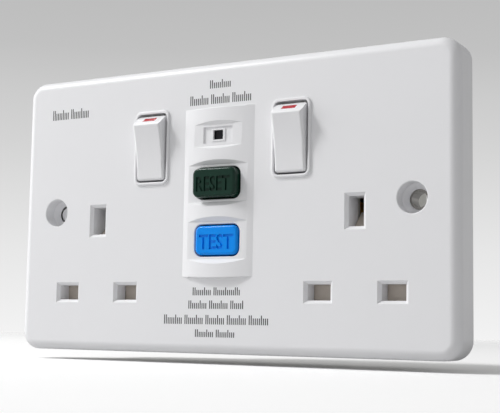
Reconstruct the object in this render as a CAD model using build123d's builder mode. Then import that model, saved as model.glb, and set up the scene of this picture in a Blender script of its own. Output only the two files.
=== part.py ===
"""Two-gang switched wall socket with an earth-leakage (residual current) trip.

Frame: +X right, +Z up, the front looks along -Y. The origin is midway between
the two fixing holes, on the wall plane that the plate's rear rim rests on.
Lengths are in millimetres. The model is shown switched on, tripped and unplugged.
"""
from build123d import *
from math import cos, radians, sin
import os

os.makedirs("parts", exist_ok=True)

# Front plate
plate_width = 147.0
plate_height = 86.2
plate_depth = 10.6
plate_corner = 5.5
plate_edge = 3.0
face_wall = 2.5
side_wall = 2.4

# Fixing holes and the metal eyelets in them
fixing_spacing = 120.6
fixing_recess_radius = 4.3
fixing_recess_depth = 3.9
fixing_seat_depth = 1.7
fixing_boss_radius = 6.5
eyelet_bore = 2.2
eyelet_wall = 0.6
eyelet_flange_radius = 3.9
eyelet_flange = 0.5
fit_gap = 0.05
cut_past = 1.0

# Socket outlets: pin layout and apertures
outlet_spacing = 87.5
pin_pitch = 22.2
earth_rise = 22.2
outlet_drop = 25.2
flat_slot_width = 7.1
flat_slot_height = 4.5
earth_slot_width = 4.6
earth_slot_height = 8.4
slot_chamfer = 0.9
collar_wall = 1.0
collar_depth = 2.6
earth_collar_depth = 4.7

# Fascia bulge, its flat recesses, window and button holes
fascia_width = 24.0
fascia_top = 29.2
fascia_bottom = -20.6
fascia_bow = 0.5
fascia_root = 0.5
bulge = 1.6
button_floor = 0.5
window_floor = 0.9
recess_lean = 1.25
reset_height = 6.7
test_height = -10.1
window_height = 21.0
button_recess = 11.0
window_recess = 6.5
window_pocket_width = 9.9
window_pocket_height = 4.9
window_pocket_depth = 0.45
window_width = 3.3
window_opening = 2.8
window_rim = 0.7
window_rim_ends = 0.45
window_rim_rise = 0.3
flag_slot_lift = 0.05
flag_slot_side = 1.1
flag_slot_end = 0.4
flag_run = 0.3

# Buttons
button_width = 14.4
button_height = 8.6
button_corner = 1.9
button_bevel = 0.7
button_gap = 0.45
button_flange_overlap = 1.2
button_flange = 1.3
reset_proud = 3.2
reset_travel = 2.6
test_proud = 1.0
test_travel = 1.2
stem_width = 4.4
stem_height = 3.2
stem_end = 9.0
flange_gap = 0.3
wedge_foot = 0.6
test_lug_half_width = 1.5
test_lug_front = 3.0
test_lug_rear = 5.0
test_lug_reach = 4.4
button_spring_radius = 1.6
button_spring_wire = 0.4

# Rocker switches
rocker_offset = 23.9
rocker_height = 18.65
rocker_width = 9.8
rocker_hole_width = 10.8
rocker_hole_height = 21.1
rocker_rim = 0.9
rocker_rim_rise = 0.6
rocker_rim_round = 0.45
rocker_hole_corner = 1.4
rocker_edge = 0.75
rocker_corner = 0.9
rocker_swing = 14.0
rocker_dish = 0.5
rocker_proud_top = 3.9
rocker_proud_bottom = 0.9
rocker_top_gap = 0.65
rocker_bottom_gap = 0.55
rocker_slope_height = 3.05
rocker_slope_foot = 0.15
rocker_front_foot = 0.05
rocker_back_top = 0.3
rocker_back_bottom = 2.2
trunnion_radius = 1.0
trunnion_length = 2.1
trunnion_gap = 0.1
bearing_gap = 0.05
mark_width = 4.4
mark_height = 1.9
mark_depth = 0.5
mark_rise = 1.6
plunger_radius = 1.7
plunger_front = 2.0
plunger_reach = 10.2
plunger_tube = 1.2
plunger_tube_length = 4.2
plunger_spring_wire = 0.4

# Deck, housing and the screws that hold them to the plate
chamber_depth = 4.9
deck_thickness = 2.0
housing_width = 126.0
housing_height = 66.0
housing_rear = 23.0
housing_wall = 1.8
notch_width = 11.0
notch_height = 18.0
upper_screw_side = 8.0
upper_screw_drop = 6.0
lower_screw_x = 22.0
lower_screw_rise = 4.5
screw_post_radius = 2.6
screw_radius = 1.4
screw_clear = 0.2
screw_head_radius = 2.5
screw_head = 1.8
screw_head_round = 0.6
screw_slot_depth = 0.9
screw_slot_half = 0.4
screw_end_gap = 0.6

# Deck: openings, shutter rails, rocker bearings, carriage rails and pillars
slot_clear = 0.35
stem_clear = 0.6
rail_gap = 0.3
rail_depth = 4.2
rail_wall = 1.2
spring_post_half = 1.6
spring_post_rise = 2.1
bearing_side_gap = 0.2
bearing_wall = 1.6
bearing_half_height = 2.6
plunger_slot_height = 9.4
carriage_rail_wall = 1.5
carriage_rail_foot = 1.4
pillar_x = 15.0
pillar_half = 1.0
test_post_x = 11.0
test_leaf_low = 5.4
test_leaf_high = 2.7
test_leaf_end = 3.0
test_leaf = 0.4

# Housing: ribs behind the chassis, pillars behind the board, wire notches and screwdriver holes
rib_x = 11.0
rib_half = 1.0
rib_end = 2.0
rib_strap_gap = 4.0
board_pillar_x = 13.0
board_pillar_radius = 1.8
board_pillar_rise = 3.8
wire_notch_half = 3.2
driver_hole_clear = 0.6

# Shutters
shutter_gap = 0.3
shutter_thickness = 1.6
shutter_travel = 5.2
shutter_cover = 0.55
shutter_stem = 6.0
shutter_ramp_side = 0.2
shutter_ramp_lead = 1.5
shutter_ramp_tail = 3.0
shutter_spring_length = 10.0
shutter_spring_radius = 1.3
shutter_spring_wire = 0.35
shutter_spring_inset = 1.7
shutter_spring_pocket = 1.9
shutter_spring_seat = 1.4

# Clips, switch arms, links and busbars
leaf = 0.8
clip_pinch = 4.2
clip_flare = 0.9
clip_mouth = 2.0
clip_gap = 0.4
flat_clip_width = 6.0
live_clip_depth = 9.8
neutral_clip_depth = 10.8
earth_clip_height = 7.0
earth_clip_depth = 15.6
strip = 0.8
arm_pivot_depth = 4.0
arm_half_length = 9.0
arm_width = 5.0
arm_corner = 1.2
arm_pin_radius = 0.7
arm_pin_side = 1.5
bracket_rise = 2.4
bracket_half_height = 1.6
bracket_side = 0.9
bracket_front = 1.5
rivet_radius = 1.4
contact_gap = 0.4
contact_radius = 1.2
contact_height = 0.6
contact_half = 1.5
contact_depth = 2.9
link_half = 1.7
link_side = 1.3
link_width = 2.4
link_run_gap = 1.9
link_tip_drop = 2.2
busbar_side = 2.5
busbar_low = 0.4
busbar_high = 2.2
strap_half = 2.5
strap_leg_half = 2.0

# Contact carriage and indicator flag
lift_ratio = 1.25
carriage_width = 18.0
carriage_front = 0.2
carriage_rear = 5.6
carriage_bottom = -0.6
carriage_top = 13.0
carriage_stem_clear = 0.4
flag_thickness = 1.0
flag_gap = 0.2
flag_side = 0.5
flag_overlap = 0.25
flag_arm_half = 2.0
flag_arm_depth = 3.0
pole_offset = 5.8

# Terminals
terminal_offsets = {"earth_left": -40.0, "neutral": -14.0, "live": 14.0, "earth_right": 40.0}
terminal_width = 9.0
terminal_height = 11.0
terminal_front = 9.5
terminal_rear = 20.6
terminal_edge = 0.6
wire_depth = 4.0
wire_bore = 2.25
wire_bore_depth = 9.0
terminal_screw_radius = 1.95
terminal_screw_gap = 0.3
terminal_slot_depth = 1.0
terminal_slot_half = 0.35

# Trip chassis, solenoid, sensing core and circuit board
chassis_depth = 16.0
chassis_thickness = 1.0
chassis_width = 26.0
chassis_height = 28.0
chassis_corner = 1.5
solenoid_height = -1.8
solenoid_depth = 11.5
coil_radius = 3.3
coil_bore = 1.55
coil_left = -9.0
coil_right = 5.0
yoke_wall = 1.0
yoke_gap = 0.2
plunger_rod = 1.45
plunger_inset = 3.0
plunger_head_gap = 3.3
plunger_head_radius = 2.6
plunger_head = 1.0
solenoid_spring_radius = 2.1
solenoid_spring_wire = 0.3
core_height = -24.0
core_front = 0.5
core_length = 6.5
core_outer = 7.0
core_inner = 4.0
core_round = 0.8
conductor_x = 1.7
conductor_radius = 1.1
conductor_front_gap = 0.3
conductor_rear_gap = 0.4
board_front = 12.0
board_thickness = 1.6
board_width = 34.0
board_height = 15.8
board_wall_gap = 0.4
board_part_drop = 4.5
capacitor_x = -7.0
capacitor_radius = 3.2
capacitor_length = 6.0
capacitor_round = 0.4
varistor_x = 6.0
varistor_radius = 3.6
varistor_thickness = 2.6
varistor_round = 0.6
thyristor_left = -1.4
thyristor_width = 3.8
thyristor_depth = 4.2
thyristor_height = 3.0
thyristor_drop = 5.5
resistor_offsets = (-6.0, -2.0, 2.0, 6.0)
resistor_radius = 0.95
resistor_length = 4.6
resistor_lift = 1.0
resistor_drop = 12.0

# Depths and limits that follow from the sizes above
front = -plate_depth
inner_face = front + face_wall
deck_front = inner_face + chamber_depth
deck_rear = deck_front + deck_thickness
housing_inner_rear = housing_rear - housing_wall
carriage_lift = reset_travel * lift_ratio
flat_z = -outlet_drop
earth_z = earth_rise - outlet_drop
fixing_x = fixing_spacing / 2
outlet_x = outlet_spacing / 2
flat_places = [(s * outlet_x + d * pin_pitch / 2, flat_z) for s in (-1, 1) for d in (-1, 1)]
eyelet_front = front + fixing_recess_depth + fixing_seat_depth
pivot_y = inner_face + trunnion_radius + trunnion_gap
front_pivot = pivot_y - front
screw_points = [(s * (housing_width / 2 - upper_screw_side), housing_height / 2 - upper_screw_drop)
                for s in (-1, 1)]
screw_points += [(s * lower_screw_x, lower_screw_rise - housing_height / 2) for s in (-1, 1)]
board_bottom = board_wall_gap + housing_wall - housing_height / 2
board_top = board_bottom + board_height
board_rear = board_front + board_thickness
test_leaf_front = test_lug_rear + test_travel + contact_gap
window_frame_width = window_width + 2 * window_rim
window_frame_height = window_opening + 2 * window_rim_ends
SIDES = (("left", -1), ("right", 1))


def facing(y):
    """Plane across the plate at depth y: its x runs to +X, its y to +Z, its normal to -Y."""
    return Plane.XZ.offset(-y)


def slab(x0, x1, y0, y1, z0, z1, mode=Mode.ADD):
    """Straight block between two corners."""
    with Locations(((x0 + x1) / 2, (y0 + y1) / 2, (z0 + z1) / 2)):
        Box(x1 - x0, y1 - y0, z1 - z0, mode=mode)


def housing_outline(inset):
    """Outline of deck and housing: a rectangle with a notch round each fixing boss."""
    Rectangle(housing_width - 2 * inset, housing_height - 2 * inset)
    reach = notch_width + inset
    with Locations(((housing_width - reach) / 2, 0), ((reach - housing_width) / 2, 0)):
        Rectangle(reach, notch_height + 2 * inset, mode=Mode.SUBTRACT)


def round_spring(radius, wire, start, end, direction, turns):
    """Open coil spring between two points on one axis."""
    length = (Vector(*end) - Vector(*start)).length
    path = Helix(
        pitch=(length - wire) / turns,
        height=length - wire,
        radius=radius,
        center=Vector(*start) + Vector(*direction) * (wire / 2),
        direction=direction,
    )
    with BuildPart() as coil:
        with BuildSketch(Plane(origin=path @ 0, z_dir=path % 0)):
            Circle(wire / 2)
        sweep(path=path)
    return coil


# Bulge of the fascia: an arc across the width, straight top, slightly bowed bottom edge
with BuildPart() as fascia:
    with BuildSketch(facing(front + fascia_root)):
        with BuildLine():
            Line((-fascia_width / 2, fascia_bottom), (-fascia_width / 2, fascia_top))
            Line((-fascia_width / 2, fascia_top), (fascia_width / 2, fascia_top))
            Line((fascia_width / 2, fascia_top), (fascia_width / 2, fascia_bottom))
            ThreePointArc(
                (fascia_width / 2, fascia_bottom),
                (0, fascia_bottom - fascia_bow),
                (-fascia_width / 2, fascia_bottom),
            )
        make_face()
    extrude(amount=fascia_root + bulge)
    with BuildSketch(Plane.XY.offset(fascia_bottom - fascia_bow)):
        with BuildLine():
            ThreePointArc(
                (-fascia_width / 2, front), (0, front - bulge), (fascia_width / 2, front)
            )
            Polyline(
                (fascia_width / 2, front),
                (fascia_width / 2, front + fascia_root),
                (-fascia_width / 2, front + fascia_root),
                (-fascia_width / 2, front),
            )
        make_face()
    extrude(amount=fascia_top - fascia_bottom + fascia_bow, mode=Mode.INTERSECT)

# Front plate: shell, fascia, rocker rims, apertures, bosses and screw posts in one moulding
with BuildPart() as front_plate:
    with BuildSketch(facing(0)):
        RectangleRounded(plate_width, plate_height, plate_corner)
    extrude(amount=plate_depth)
    fillet(front_plate.faces().sort_by(Axis.Y)[0].edges(), plate_edge)
    with BuildSketch(facing(0)):
        RectangleRounded(
            plate_width - 2 * side_wall, plate_height - 2 * side_wall, plate_corner - side_wall
        )
    extrude(amount=plate_depth - face_wall, mode=Mode.SUBTRACT)
    add(fascia.part)
    rim_width = rocker_hole_width + 2 * rocker_rim
    rim_height = rocker_hole_height + 2 * rocker_rim
    with BuildSketch(facing(front)):
        with Locations((-rocker_offset, rocker_height), (rocker_offset, rocker_height)):
            RectangleRounded(rim_width, rim_height, rocker_hole_corner + rocker_rim)
    extrude(amount=rocker_rim_rise)
    rims = front_plate.faces().filter_by(Axis.Y).filter_by(
        lambda f: abs(f.center().Y - (front - rocker_rim_rise)) < 0.01
    )
    fillet(rims.edges(), rocker_rim_round)
    with BuildSketch(facing(inner_face)):
        with Locations((-fixing_x, 0), (fixing_x, 0)):
            Circle(fixing_boss_radius)
    extrude(amount=inner_face)
    with BuildSketch(facing(inner_face)):
        with Locations(*screw_points):
            Circle(screw_post_radius)
    extrude(amount=-chamber_depth)
    for height, floor, tall in (
        (reset_height, button_floor, button_recess),
        (test_height, button_floor, button_recess),
        (window_height, window_floor, window_recess),
    ):
        flare = (bulge + cut_past - floor) * recess_lean
        with BuildSketch(Plane.YZ.offset(-fascia_width / 2)):
            Polygon(
                (front - floor, height - tall / 2),
                (front - floor, height + tall / 2),
                (front - bulge - cut_past, height + tall / 2 + flare),
                (front - bulge - cut_past, height - tall / 2 - flare),
                align=None,
            )
        extrude(amount=fascia_width, mode=Mode.SUBTRACT)
    with BuildSketch(facing(front - window_floor)):
        with Locations((0, window_height)):
            Rectangle(window_pocket_width, window_pocket_height)
            Rectangle(window_frame_width, window_frame_height, mode=Mode.SUBTRACT)
    extrude(amount=-window_pocket_depth, mode=Mode.SUBTRACT)
    with BuildSketch(facing(front - window_floor)):
        with Locations((0, window_height)):
            Rectangle(window_frame_width, window_frame_height)
    extrude(amount=-(window_pocket_depth - window_rim_rise), mode=Mode.SUBTRACT)
    with BuildSketch(facing(front - bulge - cut_past)):
        with Locations((0, window_height)):
            Rectangle(window_width, window_opening)
        with Locations((0, reset_height), (0, test_height)):
            RectangleRounded(
                button_width + 2 * button_gap, button_height + 2 * button_gap, button_corner + button_gap
            )
        with Locations((-rocker_offset, rocker_height), (rocker_offset, rocker_height)):
            RectangleRounded(rocker_hole_width, rocker_hole_height, rocker_hole_corner)
    extrude(amount=-(bulge + cut_past + face_wall), mode=Mode.SUBTRACT)
    flag_top = window_height + window_opening / 2 + flag_run + carriage_lift
    flag_bottom = window_height - window_opening / 2 - flag_run - carriage_lift
    slab(
        -window_width / 2 - flag_slot_side,
        window_width / 2 + flag_slot_side,
        front - flag_slot_lift,
        inner_face,
        flag_bottom - flag_slot_end,
        flag_top + flag_slot_end,
        mode=Mode.SUBTRACT,
    )
    with BuildSketch(facing(inner_face)):
        with Locations(*flat_places):
            Rectangle(flat_slot_width + 2 * collar_wall, flat_slot_height + 2 * collar_wall)
    extrude(amount=-collar_depth)
    # the earth collars have no lower wall, so that the shutters' ramps can pass
    with BuildSketch(facing(inner_face)):
        with Locations(*[(s * outlet_x, earth_z + collar_wall / 2) for s in (-1, 1)]):
            Rectangle(earth_slot_width + 2 * collar_wall, earth_slot_height + collar_wall)
    extrude(amount=-earth_collar_depth)
    with BuildSketch(facing(front)):
        with Locations(*flat_places):
            Rectangle(flat_slot_width, flat_slot_height)
        with Locations(*[(s * outlet_x, earth_z) for s in (-1, 1)]):
            Rectangle(earth_slot_width, earth_slot_height)
    extrude(amount=-face_wall - earth_collar_depth, mode=Mode.SUBTRACT)
    slot_tops = front_plate.edges().filter_by(
        lambda e: abs(e.center().Y - front) < 0.001
        and abs(abs(e.center().X) - outlet_x) < pin_pitch / 2 + flat_slot_width
        and flat_z - flat_slot_height < e.center().Z < earth_z + earth_slot_height
    )
    chamfer(slot_tops, slot_chamfer)
    with BuildSketch(facing(front)):
        with Locations((-fixing_x, 0), (fixing_x, 0)):
            Circle(fixing_recess_radius)
    extrude(amount=-fixing_recess_depth, mode=Mode.SUBTRACT)
    eyelet_hole = eyelet_bore + eyelet_wall + fit_gap
    with Locations(*[(s * fixing_x, eyelet_front - fixing_seat_depth / 2, 0) for s in (-1, 1)]):
        Cone(
            eyelet_hole, fixing_recess_radius, fixing_seat_depth,
            rotation=(90, 0, 0), mode=Mode.SUBTRACT,
        )
    with BuildSketch(facing(front)):
        with Locations((-fixing_x, 0), (fixing_x, 0)):
            Circle(eyelet_hole)
    extrude(amount=-plate_depth, mode=Mode.SUBTRACT)
    with BuildSketch(facing(0)):
        with Locations((-fixing_x, 0), (fixing_x, 0)):
            Circle(eyelet_flange_radius + fit_gap)
    extrude(amount=eyelet_flange, mode=Mode.SUBTRACT)
    with BuildSketch(facing(deck_front)):
        with Locations(*screw_points):
            Circle(screw_radius + fit_gap)
    extrude(amount=chamber_depth + screw_end_gap, mode=Mode.SUBTRACT)
front_plate.part.label = "front_plate"
export_step(front_plate.part, "parts/front_plate.step")

# Metal eyelets pressed into the two fixing bosses from behind
with BuildPart() as fixing_eyelets:
    with BuildSketch(facing(0)):
        with Locations((-fixing_x, 0), (fixing_x, 0)):
            Circle(eyelet_flange_radius)
    extrude(amount=eyelet_flange)
    with BuildSketch(facing(0)):
        with Locations((-fixing_x, 0), (fixing_x, 0)):
            Circle(eyelet_bore + eyelet_wall)
    extrude(amount=-eyelet_front)
    with BuildSketch(facing(0)):
        with Locations((-fixing_x, 0), (fixing_x, 0)):
            Circle(eyelet_bore)
    extrude(amount=-eyelet_front, mode=Mode.SUBTRACT)
fixing_eyelets.part.label = "fixing_eyelets"
export_step(fixing_eyelets.part, "parts/fixing_eyelets.step")

# Deck behind the plate: pin openings, rocker bearings, shutter rails, carriage rails
stem_slot_width = stem_width + 2 * stem_clear
reset_slot_low = reset_height - stem_height / 2 - stem_clear
bearing_near = rocker_hole_width / 2 + bearing_side_gap
spring_post_z = flat_z + flat_slot_height / 2 + spring_post_rise
spring_top_z = spring_post_z + shutter_spring_length
feed_front = arm_pivot_depth + bracket_rise
with BuildPart() as mechanism_deck:
    with BuildSketch(facing(deck_rear)):
        housing_outline(0)
    extrude(amount=deck_thickness)
    for side, s in SIDES:
        cx = s * outlet_x
        rail = shutter_stem / 2 + rail_gap
        for r in (-1, 1):
            near = cx + r * rail
            far = cx + r * (rail + rail_wall)
            slab(
                min(near, far), max(near, far), deck_front - rail_depth, deck_front,
                spring_post_z + rail_wall, spring_top_z - rail_wall,
            )
        slab(
            cx - spring_post_half, cx + spring_post_half, deck_front - rail_depth, deck_front,
            spring_post_z - rail_wall, spring_post_z,
        )
        for r in (-1, 1):
            near = s * rocker_offset + r * bearing_near
            far = s * rocker_offset + r * (bearing_near + bearing_wall)
            slab(
                min(near, far), max(near, far), inner_face + bearing_side_gap, deck_front,
                rocker_height - bearing_half_height, rocker_height + bearing_half_height,
            )
    rail_x = carriage_width / 2 + rail_gap
    for s in (-1, 1):
        slab(
            min(s * rail_x, s * (rail_x + carriage_rail_wall)),
            max(s * rail_x, s * (rail_x + carriage_rail_wall)),
            deck_rear, carriage_rear - fit_gap,
            carriage_bottom - carriage_rail_foot, carriage_top + carriage_lift,
        )
        slab(
            s * pillar_x - pillar_half, s * pillar_x + pillar_half, deck_rear, feed_front,
            rocker_height - bracket_half_height, rocker_height + bracket_half_height,
        )
    slab(
        test_post_x - pillar_half, test_post_x + pillar_half, deck_rear, test_leaf_front,
        test_height - test_leaf_low, test_height - test_leaf_high,
    )
    with BuildSketch(facing(deck_rear)):
        with Locations(*flat_places):
            Rectangle(flat_slot_width + 2 * slot_clear, flat_slot_height + 2 * slot_clear)
        earth_top = earth_z + earth_slot_height / 2 + slot_clear
        ramp_bottom = spring_top_z - shutter_travel - slot_clear
        with Locations(*[(s * outlet_x, (earth_top + ramp_bottom) / 2) for s in (-1, 1)]):
            Rectangle(earth_slot_width + 2 * slot_clear, earth_top - ramp_bottom)
        with Locations((0, test_height)):
            Rectangle(stem_slot_width, stem_height + 2 * stem_clear)
        with Locations((0, (reset_slot_low + flag_top) / 2)):
            Rectangle(stem_slot_width, flag_top - reset_slot_low)
        with Locations((-rocker_offset, rocker_height), (rocker_offset, rocker_height)):
            Rectangle(2 * (plunger_radius + plunger_tube + stem_clear), plunger_slot_height)
        with Locations(*screw_points):
            Circle(screw_radius + screw_clear)
    extrude(amount=deck_thickness, mode=Mode.SUBTRACT)
    for s in (-1, 1):
        with Locations((s * rocker_offset, pivot_y, rocker_height)):
            Cylinder(
                trunnion_radius + bearing_gap, 2 * (bearing_near + bearing_wall),
                rotation=(0, 90, 0), mode=Mode.SUBTRACT,
            )
        slab(
            s * rocker_offset - bearing_near - bearing_wall,
            s * rocker_offset + bearing_near + bearing_wall,
            inner_face, pivot_y,
            rocker_height - trunnion_radius - bearing_gap,
            rocker_height + trunnion_radius + bearing_gap,
            mode=Mode.SUBTRACT,
        )
mechanism_deck.part.label = "mechanism_deck"
export_step(mechanism_deck.part, "parts/mechanism_deck.step")

# Rear housing: open box with screw bosses, wire notches, screwdriver holes and ribs
wire_y = terminal_front + wire_depth
with BuildPart() as rear_housing:
    with BuildSketch(facing(housing_rear)):
        housing_outline(0)
    extrude(amount=housing_rear - deck_rear)
    with BuildSketch(facing(housing_inner_rear)):
        housing_outline(housing_wall)
    extrude(amount=housing_inner_rear - deck_rear, mode=Mode.SUBTRACT)
    with BuildSketch(facing(housing_inner_rear)):
        with Locations(*screw_points):
            Circle(screw_post_radius)
    extrude(amount=housing_inner_rear - deck_rear)
    for s in (-1, 1):
        for rib_low, rib_high in (
            (rib_end / 2 - chassis_height / 2, earth_z - rib_strap_gap),
            (earth_z + rib_strap_gap, chassis_height / 2 - rib_end),
        ):
            slab(
                s * rib_x - rib_half, s * rib_x + rib_half,
                chassis_depth + chassis_thickness, housing_inner_rear, rib_low, rib_high,
            )
        with Locations(
            (s * board_pillar_x, (board_rear + housing_inner_rear) / 2, board_bottom + board_pillar_rise)
        ):
            Cylinder(board_pillar_radius, housing_inner_rear - board_rear, rotation=(90, 0, 0))
    with BuildSketch(facing(housing_rear)):
        with Locations(*screw_points):
            Circle(screw_radius + screw_clear)
    extrude(amount=housing_rear - deck_rear, mode=Mode.SUBTRACT)
    driver_z = housing_height / 2 - housing_wall - terminal_height / 2
    for x in terminal_offsets.values():
        slab(
            x - wire_notch_half, x + wire_notch_half,
            wire_y - wire_notch_half, housing_rear + cut_past,
            housing_height / 2 - housing_wall, housing_height / 2 + cut_past,
            mode=Mode.SUBTRACT,
        )
        with Locations((x, housing_rear - housing_wall / 2, driver_z)):
            Cylinder(
                terminal_screw_radius + driver_hole_clear, housing_wall + cut_past,
                rotation=(90, 0, 0), mode=Mode.SUBTRACT,
            )
rear_housing.part.label = "rear_housing"
export_step(rear_housing.part, "parts/rear_housing.step")

# Long screws from the housing into the plate's posts
with BuildPart() as housing_screws:
    with BuildSketch(facing(housing_rear)):
        with Locations(*screw_points):
            Circle(screw_radius)
    extrude(amount=housing_rear - inner_face - fit_gap)
    with BuildSketch(facing(housing_rear)):
        with Locations(*screw_points):
            Circle(screw_head_radius)
    extrude(amount=-screw_head)
    fillet(
        housing_screws.edges().filter_by(GeomType.CIRCLE).filter_by(
            lambda e: abs(e.center().Y - housing_rear - screw_head) < 0.01
        ),
        screw_head_round,
    )
    for x, z in screw_points:
        slab(
            x - screw_head_radius, x + screw_head_radius,
            housing_rear + screw_head - screw_slot_depth, housing_rear + screw_head + cut_past,
            z - screw_slot_half, z + screw_slot_half, mode=Mode.SUBTRACT,
        )
housing_screws.part.label = "housing_screws"
export_step(housing_screws.part, "parts/housing_screws.step")

# Rocker switches, drawn in the on position: top out, bottom pressed in
face_top = front_pivot + rocker_proud_top
face_bottom = front_pivot + rocker_proud_bottom
slope_foot = front_pivot
top_end = rocker_hole_height / 2 - rocker_top_gap
bottom_end = rocker_hole_height / 2 - rocker_bottom_gap
face_top_z = top_end - rocker_slope_height
face_bottom_z = bottom_end - rocker_front_foot
slope_foot_z = top_end - rocker_slope_foot
lean = radians(rocker_swing / 2)
for side, s in SIDES:
    cx = s * rocker_offset
    plunger_plane = Plane(
        origin=(cx, pivot_y, rocker_height), x_dir=(1, 0, 0), z_dir=(0, cos(lean), sin(lean))
    )
    with BuildPart() as rocker:
        with BuildSketch(Plane.YZ.offset(cx - rocker_width / 2)):
            with BuildLine():
                bottom_front = (pivot_y - face_bottom, rocker_height - face_bottom_z)
                top_front = (pivot_y - face_top, rocker_height + face_top_z)
                top_back = (pivot_y - slope_foot, rocker_height + slope_foot_z)
                middle = (
                    pivot_y - (face_top + face_bottom) / 2 + rocker_dish,
                    rocker_height + (face_top_z - face_bottom_z) / 2,
                )
                ThreePointArc(bottom_front, middle, top_front)
                Polyline(
                    top_front,
                    top_back,
                    (pivot_y - rocker_back_top, rocker_height + top_end),
                    (pivot_y + rocker_back_bottom, rocker_height - bottom_end),
                    bottom_front,
                )
            make_face()
        extrude(amount=rocker_width)
        with BuildSketch(facing(front - plate_depth)):
            with Locations((cx, rocker_height + (top_end - bottom_end) / 2)):
                RectangleRounded(rocker_width, top_end + bottom_end, rocker_corner)
        extrude(amount=-3 * plate_depth, mode=Mode.INTERSECT)
        dished_face = rocker.faces().filter_by(GeomType.CYLINDER).sort_by(SortBy.AREA)[-1]
        fillet(dished_face.edges(), rocker_edge)
        with BuildSketch(plunger_plane):
            Circle(plunger_radius + plunger_tube)
        extrude(amount=plunger_tube_length)
        with BuildSketch(plunger_plane.offset(-plunger_front)):
            Circle(plunger_radius + bearing_gap)
        extrude(amount=plunger_front + plunger_tube_length + cut_past, mode=Mode.SUBTRACT)
        for t in (-1, 1):
            with Locations((cx + t * (rocker_width + trunnion_length) / 2, pivot_y, rocker_height)):
                Cylinder(trunnion_radius, trunnion_length, rotation=(0, 90, 0))
        # seat of the red mark in the sloping top face
        slope = Vector(0, face_top - slope_foot, slope_foot_z - face_top_z).normalized()
        mark_plane = Plane(
            origin=(
                cx,
                pivot_y - face_top + mark_rise * slope.Y / slope.Z,
                rocker_height + face_top_z + mark_rise,
            ),
            x_dir=(1, 0, 0),
            z_dir=(0, -slope.Z, slope.Y),
        )
        with BuildSketch(mark_plane):
            Rectangle(mark_width + 2 * fit_gap, mark_height + 2 * fit_gap)
        extrude(amount=-mark_depth - fit_gap, mode=Mode.SUBTRACT)
    rocker.part.label = "rocker_" + side
    export_step(rocker.part, f"parts/rocker_{side}.step")

    with BuildPart() as on_mark:
        with BuildSketch(mark_plane):
            Rectangle(mark_width, mark_height)
        extrude(amount=-mark_depth)
    on_mark.part.label = "on_mark_" + side
    export_step(on_mark.part, f"parts/on_mark_{side}.step")

    with BuildPart() as plunger:
        with BuildSketch(plunger_plane.offset(plunger_front)):
            Circle(plunger_radius)
        extrude(amount=plunger_reach - plunger_front)
        fillet(plunger.faces().sort_by(Axis.Y)[-1].edges(), plunger_radius * 0.9)
    plunger.part.label = "rocker_plunger_" + side
    export_step(plunger.part, f"parts/rocker_plunger_{side}.step")

    axis = plunger_plane.z_dir
    spring_half = plunger_front - fit_gap
    spring = round_spring(
        plunger_radius - plunger_spring_wire / 2 - 3 * fit_gap,
        plunger_spring_wire,
        tuple(plunger_plane.origin - axis * spring_half),
        tuple(plunger_plane.origin + axis * spring_half),
        tuple(axis),
        4,
    )
    spring.part.label = "rocker_spring_" + side
    export_step(spring.part, f"parts/rocker_spring_{side}.step")

    # Switch arm: brass strip on a cross pin, closed at its upper end
    arm_plane = Plane(
        origin=(cx, arm_pivot_depth, rocker_height), x_dir=(1, 0, 0), z_dir=(0, cos(lean), -sin(lean))
    )
    with BuildPart() as arm:
        with BuildSketch(arm_plane.offset(-strip / 2)):
            RectangleRounded(arm_width, 2 * arm_half_length, arm_corner)
        extrude(amount=strip)
        with Locations((cx, arm_pivot_depth, rocker_height)):
            Cylinder(arm_pin_radius, arm_width + 2 * arm_pin_side, rotation=(0, 90, 0))
    arm.part.label = "switch_arm_" + side
    export_step(arm.part, f"parts/switch_arm_{side}.step")

# Live feed: one strip with a bracket for each switch arm and the fixed live contact
feed_end = rocker_offset + arm_width / 2 + bracket_side + strip / 2
bracket_low = rocker_height - bracket_half_height
bracket_high = rocker_height + bracket_half_height
contact_y = carriage_front + contact_depth
fixed_z = carriage_top + strip + contact_height + carriage_lift + shutter_gap
fixed_strip = fixed_z + contact_height - fit_gap
with BuildPart() as live_feed:
    slab(-feed_end, feed_end, feed_front, feed_front + strip, bracket_low, bracket_high)
    for s in (-1, 1):
        for r in (-1, 1):
            ear = s * rocker_offset + r * (arm_width / 2 + bracket_side)
            slab(
                ear - strip / 2, ear + strip / 2, arm_pivot_depth - bracket_front, feed_front,
                bracket_low, bracket_high,
            )
    slab(
        pole_offset - contact_half, pole_offset + contact_half, contact_y - contact_half, feed_front,
        fixed_strip, fixed_strip + strip,
    )
    with Locations((pole_offset, contact_y, fixed_z + contact_height / 2)):
        Cylinder(contact_radius, contact_height)
    for s in (-1, 1):
        with Locations((s * rocker_offset, arm_pivot_depth, rocker_height)):
            Cylinder(
                arm_pin_radius + bearing_gap, arm_width + 4 * arm_pin_side, rotation=(0, 90, 0),
                mode=Mode.SUBTRACT,
            )
live_feed.part.label = "live_feed"
export_step(live_feed.part, "parts/live_feed.step")

# Fixed neutral contact, held between the carriage rail and the deck's pillar
with BuildPart() as neutral_contact:
    slab(
        -pillar_x + pillar_half, -pole_offset + contact_half,
        contact_y - contact_half, contact_y + contact_half, fixed_strip, fixed_strip + strip,
    )
    with Locations((-pole_offset, contact_y, fixed_z + contact_height / 2)):
        Cylinder(contact_radius, contact_height)
neutral_contact.part.label = "neutral_contact"
export_step(neutral_contact.part, "parts/neutral_contact.step")

# Pin clips: folded strips with flared mouths, in two sizes
clip_front = deck_rear + clip_gap


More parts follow.
